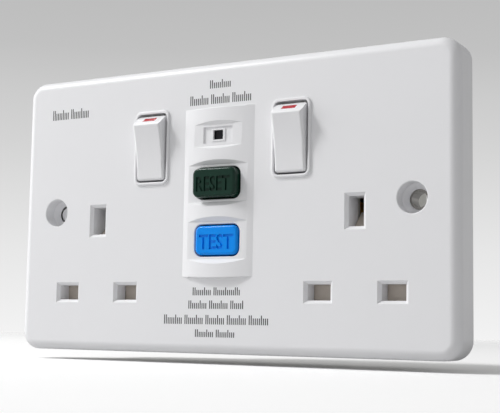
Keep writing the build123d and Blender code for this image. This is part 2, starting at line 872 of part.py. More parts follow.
def clip_profile(depth):
    """U-shaped section of a pin clip: local x runs backwards, local y across the pin."""
    half = clip_pinch / 2
    wide = half + clip_flare
    neck = clip_front + clip_mouth
    floor = clip_front + depth - leaf
    Polygon(
        (clip_front, wide), (neck, half), (floor, half),
        (floor, -half), (neck, -half), (clip_front, -wide),
        (clip_front, -wide - leaf), (neck, -half - leaf), (floor + leaf, -half - leaf),
        (floor + leaf, half + leaf), (neck, half + leaf), (clip_front, wide + leaf),
        align=None,
    )


for side, s in SIDES:
    for pole, d, depth in (("neutral", -1, neutral_clip_depth), ("live", 1, live_clip_depth)):
        x = s * outlet_x + d * pin_pitch / 2
        with BuildPart() as clip:
            with BuildSketch(
                Plane(origin=(x - flat_clip_width / 2, 0, flat_z), x_dir=(0, 1, 0), z_dir=(1, 0, 0))
            ):
                clip_profile(depth)
            extrude(amount=flat_clip_width)
        clip.part.label = pole + "_clip_" + side
        export_step(clip.part, f"parts/{pole}_clip_{side}.step")
    with BuildPart() as earth_clip:
        with BuildSketch(
            Plane(
                origin=(s * outlet_x, 0, earth_z + earth_clip_height / 2),
                x_dir=(0, 1, 0), z_dir=(0, 0, -1),
            )
        ):
            clip_profile(earth_clip_depth)
        extrude(amount=earth_clip_height)
    earth_clip.part.label = "earth_clip_" + side
    export_step(earth_clip.part, f"parts/earth_clip_{side}.step")

# Switched live links: from each rocker switch's fixed contact to its live clip
clip_top = flat_z + clip_pinch / 2 + leaf
link_front = clip_front + live_clip_depth - leaf - strip
link_rear = link_front + strip
link_low = clip_top + link_width + fit_gap
link_high = rocker_height + arm_half_length - link_tip_drop
link_middle = link_high + link_width / 2
for side, s in SIDES:
    live_x = s * outlet_x + pin_pitch / 2
    run_x = live_x if s < 0 else outlet_x + clip_pinch / 2 + leaf + link_run_gap
    with BuildPart() as link:
        slab(
            live_x - link_half, live_x + link_half, link_front, link_rear,
            clip_top, link_low + link_width,
        )
        slab(
            min(run_x, live_x) - link_side, max(run_x, live_x) + link_half, link_front, link_rear,
            link_low, link_low + link_width,
        )
        slab(
            run_x - link_side, run_x + link_side, link_front, link_rear,
            link_low, link_high + link_width,
        )
        slab(
            min(run_x - link_side, s * rocker_offset - arm_width / 2),
            max(run_x + link_side, s * rocker_offset + arm_width / 2),
            link_front, link_rear, link_high, link_high + link_width,
        )
        tip_y = arm_pivot_depth + (link_middle - rocker_height) * sin(lean) / cos(lean)
        tip_y = tip_y + strip / 2 / cos(lean) + contact_gap
        with Locations((s * rocker_offset, (tip_y + link_front) / 2, link_middle)):
            Cylinder(rivet_radius, link_front - tip_y, rotation=(90, 0, 0))
    link.part.label = "live_link_" + side
    export_step(link.part, f"parts/live_link_{side}.step")

# Neutral busbar across the two neutral clips
with BuildPart() as neutral_busbar:
    busbar_front = clip_front + neutral_clip_depth
    slab(
        -outlet_x - pin_pitch / 2 - busbar_side, outlet_x - pin_pitch / 2 + busbar_side,
        busbar_front, busbar_front + strip, flat_z - busbar_low, flat_z + busbar_high,
    )
neutral_busbar.part.label = "neutral_busbar"
export_step(neutral_busbar.part, "parts/neutral_busbar.step")

# Terminals, their screws and the earth strap
terminal_top = housing_height / 2 - housing_wall
terminal_bottom = terminal_top - terminal_height
terminal_middle = (terminal_top + terminal_bottom) / 2
for name, x in terminal_offsets.items():
    with BuildPart() as terminal:
        slab(
            x - terminal_width / 2, x + terminal_width / 2, terminal_front, terminal_rear,
            terminal_bottom, terminal_top,
        )
        chamfer(terminal.edges().filter_by(Axis.Y), terminal_edge)
        with Locations((x, wire_y, terminal_top - wire_bore_depth / 2)):
            Cylinder(wire_bore, wire_bore_depth, mode=Mode.SUBTRACT)
        with Locations((x, (wire_y + terminal_rear) / 2, terminal_middle)):
            Cylinder(
                terminal_screw_radius + fit_gap, terminal_rear - wire_y, rotation=(90, 0, 0),
                mode=Mode.SUBTRACT,
            )
    terminal.part.label = "terminal_" + name
    export_step(terminal.part, f"parts/terminal_{name}.step")

with BuildPart() as terminal_screws:
    screw_front = wire_y + wire_bore + terminal_screw_gap
    for x in terminal_offsets.values():
        with Locations((x, (screw_front + terminal_rear) / 2, terminal_middle)):
            Cylinder(terminal_screw_radius, terminal_rear - screw_front, rotation=(90, 0, 0))
        slab(
            x - terminal_screw_radius, x + terminal_screw_radius,
            terminal_rear - terminal_slot_depth, terminal_rear + cut_past,
            terminal_middle - terminal_slot_half, terminal_middle + terminal_slot_half,
            mode=Mode.SUBTRACT,
        )
terminal_screws.part.label = "terminal_screws"
export_step(terminal_screws.part, "parts/terminal_screws.step")

strap_front = terminal_rear - strip
with BuildPart() as earth_strap:
    slab(
        -outlet_x - strap_leg_half, outlet_x + strap_leg_half, strap_front, terminal_rear,
        earth_z - strap_half, earth_z + strap_half,
    )
    for s in (-1, 1):
        slab(
            s * outlet_x - strap_leg_half, s * outlet_x + strap_leg_half,
            clip_front + earth_clip_depth, strap_front,
            earth_z - strap_half, earth_z - strap_half + strip,
        )
    for name in ("earth_left", "earth_right"):
        x = terminal_offsets[name]
        slab(
            x - strap_leg_half, x + strap_leg_half, strap_front, terminal_rear,
            earth_z + strap_half, terminal_bottom,
        )
earth_strap.part.label = "earth_strap"
export_step(earth_strap.part, "parts/earth_strap.step")

# Shutters behind the pin apertures, with their return springs
shutter_front = inner_face + collar_depth + shutter_gap
shutter_rear = shutter_front + shutter_thickness
ramp_front = inner_face + shutter_ramp_lead
ramp_rear = deck_rear - fit_gap * 4
shutter_low = flat_z - flat_slot_height / 2
stem_low = shutter_low + cut_past / 2
flag_half = flat_slot_width / 2 + shutter_cover
bridge_half = pin_pitch / 2 - flat_slot_width / 2 - shutter_gap
ramp_low = earth_z - earth_slot_height / 2
ramp_half = earth_slot_width / 2 - shutter_ramp_side
ramp_top = ramp_low + shutter_travel - shutter_cover
shutter_spring_y = deck_front - shutter_spring_inset
for side, s in SIDES:
    cx = s * outlet_x
    with BuildPart() as shutter:
        for d in (-1, 1):
            fx = cx + d * pin_pitch / 2
            slab(
                fx - flag_half, fx + flag_half, shutter_front, shutter_rear,
                shutter_low - shutter_cover, shutter_low + shutter_travel - 2 * fit_gap,
            )
        slab(
            cx - bridge_half, cx + bridge_half, shutter_front, shutter_rear,
            stem_low, spring_post_z - shutter_spring_seat,
        )
        slab(
            cx - shutter_stem / 2, cx + shutter_stem / 2, shutter_front, shutter_rear,
            stem_low, spring_top_z + rail_wall,
        )
        with BuildSketch(Plane.YZ.offset(cx - ramp_half)):
            Polygon(
                (ramp_front, spring_top_z),
                (ramp_front, ramp_low - shutter_ramp_side),
                (ramp_rear, ramp_top),
                (ramp_rear, ramp_top - shutter_ramp_tail),
                (shutter_rear, spring_top_z),
                align=None,
            )
        extrude(amount=2 * ramp_half)
        slab(
            cx - shutter_spring_pocket, cx + shutter_spring_pocket,
            shutter_front - cut_past, shutter_rear + cut_past,
            spring_post_z - shutter_spring_seat, spring_top_z,
            mode=Mode.SUBTRACT,
        )
    shutter.part.label = "shutter_" + side
    export_step(shutter.part, f"parts/shutter_{side}.step")

    spring = round_spring(
        shutter_spring_radius,
        shutter_spring_wire,
        (cx, shutter_spring_y, spring_post_z + fit_gap),
        (cx, shutter_spring_y, spring_top_z - fit_gap),
        (0, 0, 1),
        7,
    )
    spring.part.label = "shutter_spring_" + side
    export_step(spring.part, f"parts/shutter_spring_{side}.step")

# Reset and test buttons: cap, retaining flange and stem
flange_front = inner_face + flange_gap
flange_rear = flange_front + button_flange
wedge_head = deck_front + bearing_side_gap
wedge_rise = (wedge_foot - wedge_head) * lift_ratio
for name, height, proud in (
    ("reset", reset_height, reset_proud),
    ("test", test_height, test_proud),
):
    with BuildPart() as button:
        with BuildSketch(facing(flange_rear)):
            with Locations((0, height)):
                RectangleRounded(
                    button_width + 2 * button_flange_overlap,
                    button_height + 2 * button_flange_overlap,
                    button_corner,
                )
        extrude(amount=button_flange)
        with BuildSketch(facing(flange_front)):
            with Locations((0, height)):
                RectangleRounded(button_width, button_height, button_corner)
        extrude(amount=flange_front - front + proud)
        top = button.faces().sort_by(Axis.Y)[0]
        fillet(top.edges(), button_bevel)
        slab(
            -stem_width / 2, stem_width / 2, flange_rear, stem_end,
            height - stem_height / 2, height + stem_height / 2,
        )
        if name == "reset":
            with BuildSketch(Plane.YZ.offset(-stem_width / 2)):
                Polygon(
                    (wedge_foot, height + stem_height / 2),
                    (wedge_head, height + stem_height / 2 + wedge_rise),
                    (wedge_head, height + stem_height / 2),
                    align=None,
                )
            extrude(amount=stem_width)
        else:
            slab(
                -test_lug_half_width, test_lug_half_width, test_lug_front, test_lug_rear,
                height - test_lug_reach, height - stem_height / 2,
            )
    button.part.label = name + "_button"
    export_step(button.part, f"parts/{name}_button.step")

    spring = round_spring(
        button_spring_radius,
        button_spring_wire,
        (0, stem_end + fit_gap, height),
        (0, chassis_depth - fit_gap, height),
        (0, 1, 0),
        5,
    )
    spring.part.label = name + "_spring"
    export_step(spring.part, f"parts/{name}_spring.step")

# Contact carriage, lifted by the reset wedge, with the indicator flag on its arm
flag_front = front - flag_slot_lift + flag_gap
flag_rear = flag_front + flag_thickness
flag_half_width = window_width / 2 + flag_side
flag_band = carriage_lift
black_top = window_height + window_opening / 2 + flag_overlap
red_top = black_top - flag_band
red_bottom = red_top - flag_band
stem_top = reset_height + stem_height / 2 + contact_gap
tunnel_half = stem_width / 2 + carriage_stem_clear
tunnel_low = reset_height - stem_height / 2 - carriage_lift - carriage_stem_clear
with BuildPart() as contact_carriage:
    slab(
        -carriage_width / 2, carriage_width / 2, carriage_front, carriage_rear,
        carriage_bottom, carriage_top,
    )
    slab(
        -flag_arm_half, flag_arm_half, carriage_front, flag_arm_depth, carriage_top, red_top,
    )
    slab(
        -flag_arm_half, flag_arm_half, flag_rear, carriage_front, red_bottom, red_top,
    )
    slab(
        -tunnel_half, tunnel_half, carriage_front - cut_past, carriage_rear + cut_past,
        tunnel_low, stem_top, mode=Mode.SUBTRACT,
    )
    with BuildSketch(Plane.YZ.offset(-tunnel_half)):
        Polygon(
            (wedge_foot, stem_top),
            (carriage_front, stem_top + (wedge_foot - carriage_front) * lift_ratio),
            (carriage_front, stem_top),
            align=None,
        )
    extrude(amount=2 * tunnel_half, mode=Mode.SUBTRACT)
contact_carriage.part.label = "contact_carriage"
export_step(contact_carriage.part, "parts/contact_carriage.step")

with BuildPart() as flag_black:
    slab(-flag_half_width, flag_half_width, flag_front, flag_rear, red_top, black_top)
flag_black.part.label = "flag_black"
export_step(flag_black.part, "parts/flag_black.step")

with BuildPart() as flag_red:
    slab(-flag_half_width, flag_half_width, flag_front, flag_rear, red_bottom, red_top)
flag_red.part.label = "flag_red"
export_step(flag_red.part, "parts/flag_red.step")

with BuildPart() as moving_contacts:
    for s in (-1, 1):
        slab(
            s * pole_offset - contact_half, s * pole_offset + contact_half,
            carriage_front + contact_gap, carriage_rear - contact_gap,
            carriage_top, carriage_top + strip,
        )
        with Locations((s * pole_offset, contact_y, carriage_top + strip + contact_height / 2)):
            Cylinder(contact_radius, contact_height)
moving_contacts.part.label = "moving_contacts"
export_step(moving_contacts.part, "parts/moving_contacts.step")

# Test contact leaf on its deck post, behind the test button's side lug
with BuildPart() as test_contact:
    slab(
        -test_leaf_end, test_post_x + pillar_half, test_leaf_front, test_leaf_front + test_leaf,
        test_height - test_leaf_low, test_height - test_leaf_high,
    )
test_contact.part.label = "test_contact"
export_step(test_contact.part, "parts/test_contact.step")

# Trip chassis plate with the solenoid on it
with BuildPart() as trip_chassis:
    slab(
        -chassis_width / 2, chassis_width / 2, chassis_depth, chassis_depth + chassis_thickness,
        -chassis_height / 2, chassis_height / 2,
    )
    fillet(trip_chassis.edges().filter_by(Axis.Y), chassis_corner)
trip_chassis.part.label = "trip_chassis"
export_step(trip_chassis.part, "parts/trip_chassis.step")

yoke_low = solenoid_height - coil_radius
yoke_high = solenoid_height + coil_radius
yoke_left = coil_left - yoke_gap - yoke_wall
yoke_right = coil_right + yoke_gap + yoke_wall
rod_left = coil_left + plunger_inset
head_x = yoke_right + plunger_head_gap
with BuildPart() as solenoid_yoke:
    slab(yoke_left, yoke_right, chassis_depth - yoke_wall, chassis_depth, yoke_low, yoke_high)
    for cheek in (yoke_left, yoke_right - yoke_wall):
        slab(
            cheek, cheek + yoke_wall, solenoid_depth - coil_radius, chassis_depth, yoke_low, yoke_high,
        )
    with Locations((yoke_right - yoke_wall / 2, solenoid_depth, solenoid_height)):
        Cylinder(coil_bore, 2 * yoke_wall, rotation=(0, 90, 0), mode=Mode.SUBTRACT)
solenoid_yoke.part.label = "solenoid_yoke"
export_step(solenoid_yoke.part, "parts/solenoid_yoke.step")

with BuildPart() as solenoid_coil:
    with Locations(((coil_left + coil_right) / 2, solenoid_depth, solenoid_height)):
        Cylinder(coil_radius, coil_right - coil_left, rotation=(0, 90, 0))
        Cylinder(coil_bore, coil_right - coil_left, rotation=(0, 90, 0), mode=Mode.SUBTRACT)
solenoid_coil.part.label = "solenoid_coil"
export_step(solenoid_coil.part, "parts/solenoid_coil.step")

with BuildPart() as solenoid_plunger:
    with Locations(((rod_left + head_x) / 2, solenoid_depth, solenoid_height)):
        Cylinder(plunger_rod, head_x - rod_left, rotation=(0, 90, 0))
    with Locations((head_x + plunger_head / 2, solenoid_depth, solenoid_height)):
        Cylinder(plunger_head_radius, plunger_head, rotation=(0, 90, 0))
solenoid_plunger.part.label = "solenoid_plunger"
export_step(solenoid_plunger.part, "parts/solenoid_plunger.step")

solenoid_spring = round_spring(
    solenoid_spring_radius,
    solenoid_spring_wire,
    (yoke_right + fit_gap, solenoid_depth, solenoid_height),
    (head_x - fit_gap, solenoid_depth, solenoid_height),
    (1, 0, 0),
    3,
)
solenoid_spring.part.label = "solenoid_spring"
export_step(solenoid_spring.part, "parts/solenoid_spring.step")

# Sensing core and the two conductors through it
with BuildPart() as sensing_core:
    with Locations((0, core_front + core_length / 2, core_height)):
        Cylinder(core_outer, core_length, rotation=(90, 0, 0))
        Cylinder(core_inner, core_length, rotation=(90, 0, 0), mode=Mode.SUBTRACT)
    fillet(sensing_core.edges(), core_round)
sensing_core.part.label = "sensing_core"
export_step(sensing_core.part, "parts/sensing_core.step")

conductor_front = deck_rear + conductor_front_gap
conductor_rear = busbar_front - conductor_rear_gap
with BuildPart() as core_conductors:
    for s in (-1, 1):
        with Locations((s * conductor_x, (conductor_front + conductor_rear) / 2, core_height)):
            Cylinder(conductor_radius, conductor_rear - conductor_front, rotation=(90, 0, 0))
core_conductors.part.label = "core_conductors"
export_step(core_conductors.part, "parts/core_conductors.step")

# Circuit board with its parts on the rear face
with BuildPart() as circuit_board:
    slab(-board_width / 2, board_width / 2, board_front, board_rear, board_bottom, board_top)
circuit_board.part.label = "circuit_board"
export_step(circuit_board.part, "parts/circuit_board.step")

with BuildPart() as capacitor:
    with Locations((capacitor_x, board_rear + capacitor_length / 2, board_top - board_part_drop)):
        Cylinder(capacitor_radius, capacitor_length, rotation=(90, 0, 0))
    fillet(capacitor.faces().sort_by(Axis.Y)[-1].edges(), capacitor_round)
capacitor.part.label = "capacitor"
export_step(capacitor.part, "parts/capacitor.step")

with BuildPart() as varistor:
    with Locations((varistor_x, board_rear + varistor_radius, board_top - board_part_drop)):
        Cylinder(varistor_radius, varistor_thickness, rotation=(0, 90, 0))
    fillet(varistor.edges(), varistor_round)
varistor.part.label = "varistor"
export_step(varistor.part, "parts/varistor.step")

with BuildPart() as thyristor:
    slab(
        thyristor_left, thyristor_left + thyristor_width, board_rear, board_rear + thyristor_depth,
        board_top - thyristor_drop, board_top - thyristor_drop + thyristor_height,
    )
thyristor.part.label = "thyristor"
export_step(thyristor.part, "parts/thyristor.step")

with BuildPart() as resistors:
    for x in resistor_offsets:
        with Locations((x, board_rear + resistor_lift, board_top - resistor_drop)):
            Cylinder(resistor_radius, resistor_length)
resistors.part.label = "resistors"
export_step(resistors.part, "parts/resistors.step")
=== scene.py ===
"""Two-gang switched wall socket with an earth-leakage trip: moulded shells, finishes and studio.

The front looks along -Y, +Z is up and the wall plane is y = 0. Every object is in metres.
The sizes below are written in millimetres and turned to metres by MM.
"""
import math

import bmesh
import bpy
from mathutils import Matrix, Vector


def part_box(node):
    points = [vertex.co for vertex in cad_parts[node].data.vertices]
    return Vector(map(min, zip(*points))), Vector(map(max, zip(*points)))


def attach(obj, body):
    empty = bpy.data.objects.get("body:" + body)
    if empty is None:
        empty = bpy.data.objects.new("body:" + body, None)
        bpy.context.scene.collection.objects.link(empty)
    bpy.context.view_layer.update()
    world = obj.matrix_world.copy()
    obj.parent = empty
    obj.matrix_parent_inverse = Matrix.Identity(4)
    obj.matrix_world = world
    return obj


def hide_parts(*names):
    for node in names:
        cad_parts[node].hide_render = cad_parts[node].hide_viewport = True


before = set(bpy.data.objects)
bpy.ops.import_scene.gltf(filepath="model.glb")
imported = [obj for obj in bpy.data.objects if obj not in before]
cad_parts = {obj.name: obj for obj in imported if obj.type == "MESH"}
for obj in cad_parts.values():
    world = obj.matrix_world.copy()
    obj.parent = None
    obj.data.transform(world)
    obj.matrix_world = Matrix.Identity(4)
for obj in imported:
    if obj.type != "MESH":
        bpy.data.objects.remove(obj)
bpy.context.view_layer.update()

bl_info = {
    "name": "Switched wall socket with trip",
    "version": (1, 0, 0),
    "blender": (4, 5, 0),
    "location": "View3D > Sidebar > Wall socket",
    "description": "Models the shells, buttons, finishes and studio of a two-gang wall socket",
    "category": "Object",
}

MM = 0.001
SIDES = (-1, 1)


# Values read from the frame
plate_low, plate_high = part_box("front_plate")
housing_low, housing_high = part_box("rear_housing")


# Properties

def length(name, description, millimetres):
    """Length property that shows in the scene's units."""
    return bpy.props.FloatProperty(
        name=name, description=description, default=millimetres * MM, min=0.0, unit="LENGTH"
    )


def number(name, description, value, unit="NONE"):
    """Number property that is no length."""
    return bpy.props.FloatProperty(name=name, description=description, default=value, unit=unit)


def linear(hex_code):
    """Linear red, green and blue of an sRGB hex colour."""
    channels = [int(hex_code[i:i + 2], 16) / 255 for i in (1, 3, 5)]
    return [c / 12.92 if c <= 0.04045 else ((c + 0.055) / 1.055) ** 2.4 for c in channels]


def colour(name, description, hex_code):
    """Colour property from an sRGB hex value."""
    return bpy.props.FloatVectorProperty(
        name=name, description=description, default=linear(hex_code), subtype="COLOR", min=0.0, max=1.0
    )


class PlateSizes(bpy.types.PropertyGroup):
    """Sizes of the front plate and what is moulded into it."""

    depth: length("Depth", "From the wall plane to the plate's flat face", 10.6)
    corner: length("Corner", "Radius of the outline's corners", 5.5)
    edge: length("Edge", "Radius of the edge round the face", 3.0)
    wall: length("Face wall", "Thickness of the face", 2.5)
    side_wall: length("Side wall", "Thickness of the sides", 2.4)
    fine_edge: length("Fine edge", "Moulding radius of small edges", 0.3)
    fascia_width: length("Fascia width", "Width of the arched fascia", 24.0)
    fascia_rise: length("Fascia rise", "Height of the arch over the face", 1.6)
    fascia_bow: length("Fascia bow", "Bow of the fascia's lower edge", 0.5)
    fascia_top: length("Fascia top", "From the middle of the plate up to the fascia's top edge", 29.2)
    fascia_drop: length("Fascia drop", "From the middle of the plate down to its lower edge", 20.6)
    button_recess: length("Button recess", "Height of the flat behind a button", 11.0)
    button_recess_floor: length("Button recess floor", "How far that flat stands over the face", 0.5)
    window_recess: length("Window recess", "Height of the flat round the window", 6.5)
    window_recess_floor: length("Window recess floor", "How far that flat stands over the face", 0.9)
    recess_lean: number("Recess lean", "How far a recess's sides lean out for its depth", 1.25)
    window_frame: length("Window frame", "Width of the frame round the window", 0.7)
    fixing_spacing: length("Fixing spacing", "Between the two fixing holes", 120.6)
    recess_radius: length("Recess radius", "Radius of a fixing recess", 4.3)
    recess_depth: length("Recess depth", "Depth of a fixing recess's straight part", 3.9)
    recess_seat: length("Recess seat", "Depth of the cone under it that the screw's head sits in", 1.7)
    boss_radius: length("Boss radius", "Radius of a fixing boss behind the face", 6.5)
    post_radius: length("Post radius", "Radius of a screw post behind the face", 2.6)
    outlet_spacing: length("Outlet spacing", "Between the earth apertures", 87.5)
    pin_pitch: length("Pin pitch", "Between live and neutral, and from them up to earth", 22.2)
    outlet_drop: length("Outlet drop", "From the middle of the plate down to live and neutral", 25.2)
    chamfer: length("Aperture chamfer", "Chamfer round each pin aperture", 0.9)
    collar_wall: length("Collar wall", "Wall of the collar behind each pin aperture", 1.0)
    collar_depth: length("Collar depth", "How far a live or neutral collar reaches back", 2.6)
    earth_collar: length("Earth collar", "How far an earth collar reaches back", 4.7)
    rocker_offset: length("Rocker offset", "From the middle of the plate to a rocker", 23.9)
    rocker_height: length("Rocker height", "From the middle of the plate up to a rocker's pivot", 18.65)
    rocker_hole_width: length("Rocker hole width", "Width of a rocker's hole", 10.8)
    rocker_hole_height: length("Rocker hole height", "Height of a rocker's hole", 21.1)
    rocker_hole_corner: length("Rocker hole corner", "Corner radius of a rocker's hole", 1.4)
    rim: length("Rocker rim", "Width of the rim round a rocker", 0.9)
    rim_rise: length("Rim rise", "Height of the rim over the face", 0.6)


class ButtonSizes(bpy.types.PropertyGroup):
    """Sizes of the reset and test buttons and of the window over them."""

    width: length("Width", "Width of a button", 14.4)
    height: length("Height", "Height of a button", 8.6)
    corner: length("Corner", "Corner radius of a button", 1.9)
    bevel: length("Bevel", "Edge radius of a button's face", 0.8)
    gap: length("Gap", "Between a button and its hole", 0.45)
    reset_height: length("Reset height", "From the middle of the plate up to the reset button", 6.7)
    test_drop: length("Test drop", "From the middle of the plate down to the test button", 10.1)
    reset_proud: length("Reset proud", "How far the reset button stands out when tripped", 3.2)
    test_proud: length("Test proud", "How far the test button stands out", 1.0)
    legend_width: length("Legend width", "Width of a moulded word", 11.6)
    legend_height: length("Legend height", "Height of a moulded word", 4.4)
    legend_depth: length("Legend depth", "How deep a word is sunk", 0.45)
    window_height: length("Window height", "From the middle of the plate up to the flag window", 21.0)
    window_width: length("Window width", "Width of the flag window", 3.3)
    window_opening: length("Window opening", "Height of the flag window", 2.8)


class BackSizes(bpy.types.PropertyGroup):
    """Sizes of the rear housing."""

    wall: length("Wall", "Thickness of the housing", 1.8)
    edge: length("Edge", "Radius of the housing's outer edges", 0.8)
    notch_width: length("Notch width", "Width of the notch beside a fixing boss", 11.0)
    notch_height: length("Notch height", "Height of the notch beside a fixing boss", 18.0)
    screw_clear: length("Screw hole", "Radius of a screw hole", 1.6)
    entry_half: length("Wire notch", "Half the width of a wire notch in the top wall", 3.2)
    mark_height: length("Mark height", "Height of a moulded terminal letter", 4.0)
    mark_rise: length("Mark rise", "How far a terminal letter stands proud", 0.35)


class FinishColours(bpy.types.PropertyGroup):
    """Colours of the finishes."""

    white: colour("White", "Front plate and rockers", "#e9e9eb")
    cream: colour("Cream", "Shutters", "#c9bfb4")
    inner: colour("Inner white", "Deck and rear housing", "#dddcd6")
    reset: colour("Reset", "Reset button", "#123126")
    test: colour("Test", "Test button", "#008cf0")
    red: colour("Red", "Marks on the rockers and the flag", "#b3242f")
    ink: colour("Ink", "Printed strokes", "#2c2c2e")


class StudioSettings(bpy.types.PropertyGroup):
    """Lamps, camera and ground."""

    key_power: number("Key lamp", "Power of the small lamp at the upper left", 8.7, "POWER")
    soft_power: number("Soft lamp", "Power of the large lamp on the left", 7.6, "POWER")
    ambient: number("Ambient", "Strength of the even light from all round", 0.505)
    paper: colour("Paper", "Floor as the camera sees it", "#fefefe")
    bounce: colour("Bounce", "Floor as it lights the socket from below", "#d4d4d4")
    glow: number("Glow", "Light that the floor adds for the camera alone", 0.02)
    drop: length("Floor drop", "Between the socket's lower edge and the floor", 3.0)
    shade_side: number("Shaded side", "Share of the even light that comes from the right", 0.62)
    lens: number("Lens", "Focal length of the camera", 79.6, "CAMERA")


# Modelling helpers: each one selects in code what its operators act on

def deselect():
    """Leaves nothing selected."""
    bpy.ops.object.select_all(action="DESELECT")


def only(piece):
    """Makes a piece the one selected and active object."""
    deselect()
    piece.select_set(True)
    bpy.context.view_layer.objects.active = piece


def settle(name):
    """Names the object just added and applies its place to its mesh."""
    piece = bpy.context.object
    piece.name = name
    piece.data.name = name
    only(piece)
    bpy.ops.object.transform_apply(location=True, rotation=True, scale=True)
    return piece


def around(middle, half):
    """Pair of coordinates on both sides of a middle."""
    return middle - half, middle + half


def block(name, x, y, z):
    """Block between pairs of coordinates."""
    middle = [(low + high) / 2 for low, high in (x, y, z)]
    size = [high - low for low, high in (x, y, z)]
    deselect()
    bpy.ops.mesh.primitive_cube_add(size=1.0, location=middle, scale=size)
    return settle(name)


def rod(name, radius, start, end, sides=64):
    """Cylinder of a radius between two points."""
    start = Vector(start)
    end = Vector(end)
    turn = (end - start).to_track_quat("Z", "Y").to_euler()
    deselect()
    bpy.ops.mesh.primitive_cylinder_add(
        vertices=sides, radius=radius, depth=(end - start).length, location=(start + end) / 2, rotation=turn
    )
    return settle(name)


def pick(piece, kind, choose):
    """Enters edit mode with only the parts of a mesh selected that choose accepts."""
    only(piece)
    bpy.ops.object.mode_set(mode="EDIT")
    bpy.ops.mesh.select_mode(type=kind)
    bpy.ops.mesh.select_all(action="DESELECT")
    mesh = bmesh.from_edit_mesh(piece.data)
    parts = {"VERT": mesh.verts, "EDGE": mesh.edges, "FACE": mesh.faces}[kind]
    for part in parts:
        if choose(part):
            part.select_set(True)
    bmesh.update_edit_mesh(piece.data)


def round_edges(piece, choose, radius, steps):
    """Rounds the edges that choose accepts."""
    pick(piece, "EDGE", choose)
    bpy.ops.mesh.bevel(offset=radius, segments=steps, profile=0.5, affect="EDGES", clamp_overlap=False)
    bpy.ops.object.mode_set(mode="OBJECT")


def along_y(edge):
    """True for an edge that runs straight back."""
    run = edge.verts[1].co - edge.verts[0].co
    return abs(run.y) > 0.95 * run.length


def at_depth(y):
    """Test for edges that lie in the plane at depth y."""
    return lambda edge: all(abs(v.co.y - y) < 0.01 * MM for v in edge.verts)


def sharp(angle):
    """Test for edges whose faces turn by more than an angle in degrees."""
    return lambda edge: len(edge.link_faces) == 2 and edge.calc_face_angle(0) > math.radians(angle)


def slide(piece, choose, move):
    """Moves the points that choose accepts."""
    pick(piece, "VERT", choose)
    bpy.ops.transform.translate(value=move)
    bpy.ops.object.mode_set(mode="OBJECT")


def join_up(piece, tool, how="DIFFERENCE"):
    """Cuts, joins or keeps a piece with a tool, which is used up."""
    only(piece)
    modifier = piece.modifiers.new("shape", "BOOLEAN")
    modifier.operation = how
    modifier.solver = "EXACT"
    modifier.object = tool
    bpy.ops.object.modifier_apply(modifier=modifier.name)
    bpy.data.objects.remove(tool)
    return piece


def rounded_block(name, x, y, z, corner, steps=8):
    """Block with the four edges that run back rounded."""
    piece = block(name, x, y, z)
    round_edges(piece, along_y, corner, steps)
    return piece


def smooth(piece, angle=32):
    """Smooth shading up to an angle, with flat faces kept flat."""
    only(piece)
    bpy.ops.object.shade_smooth_by_angle(angle=math.radians(angle))
    modifier = piece.modifiers.new("flat faces", "WEIGHTED_NORMAL")
    modifier.keep_sharp = True
    bpy.ops.object.modifier_apply(modifier=modifier.name)
    return piece


def weld(piece):
    """Merges points that the cuts left on top of each other."""
    pick(piece, "VERT", lambda vertex: True)
    bpy.ops.mesh.remove_doubles(threshold=0.002 * MM)
    bpy.ops.object.mode_set(mode="OBJECT")


# how far a letter's outline is pushed out, as a share of the font's size
LETTER_WEIGHT = 0.02


def word(name, text, x, y, z, width, height, thickness, rear=False):
    """Solid word that faces the front or the rear, centred on x and z, from depth y backwards."""
    deselect()
    bpy.ops.object.text_add(location=(0, 0, 0))
    letters = bpy.context.object
    letters.data.body = text
    letters.data.align_x = "CENTER"
    letters.data.extrude = 0.5
    letters.data.resolution_u = 3
    letters.data.offset = LETTER_WEIGHT
    only(letters)
    bpy.ops.object.convert(target="MESH")
    letters = bpy.context.object
    corners = [Vector(corner) for corner in letters.bound_box]
    low = Vector([min(c[i] for c in corners) for i in range(3)])
    high = Vector([max(c[i] for c in corners) for i in range(3)])
    letters.data.transform(Matrix.Translation(-(low + high) / 2))
    size = high - low
    letters.scale = (width / size.x, height / size.y, thickness / size.z)
    letters.rotation_euler = (math.radians(90), 0, math.radians(180) if rear else 0)
    letters.location = (x, y + thickness / 2, z)
    return settle(name)


# Materials

def node(tree, kind, settings=None, links=None):
    """Adds a node, sets its options and inputs, and links other nodes' outputs to its inputs."""
    new = tree.nodes.new("ShaderNode" + kind)
    for key, value in (settings or {}).items():
        if isinstance(key, int) or key in new.inputs:
            new.inputs[key].default_value = value
        else:
            setattr(new, key, value)
    for key, source in (links or {}).items():
        tree.links.new(source, new.inputs[key])
    return new


def bare_tree(owner):
    """Node tree of a material or world, emptied."""
    owner.use_nodes = True
    owner.node_tree.nodes.clear()
    return owner.node_tree


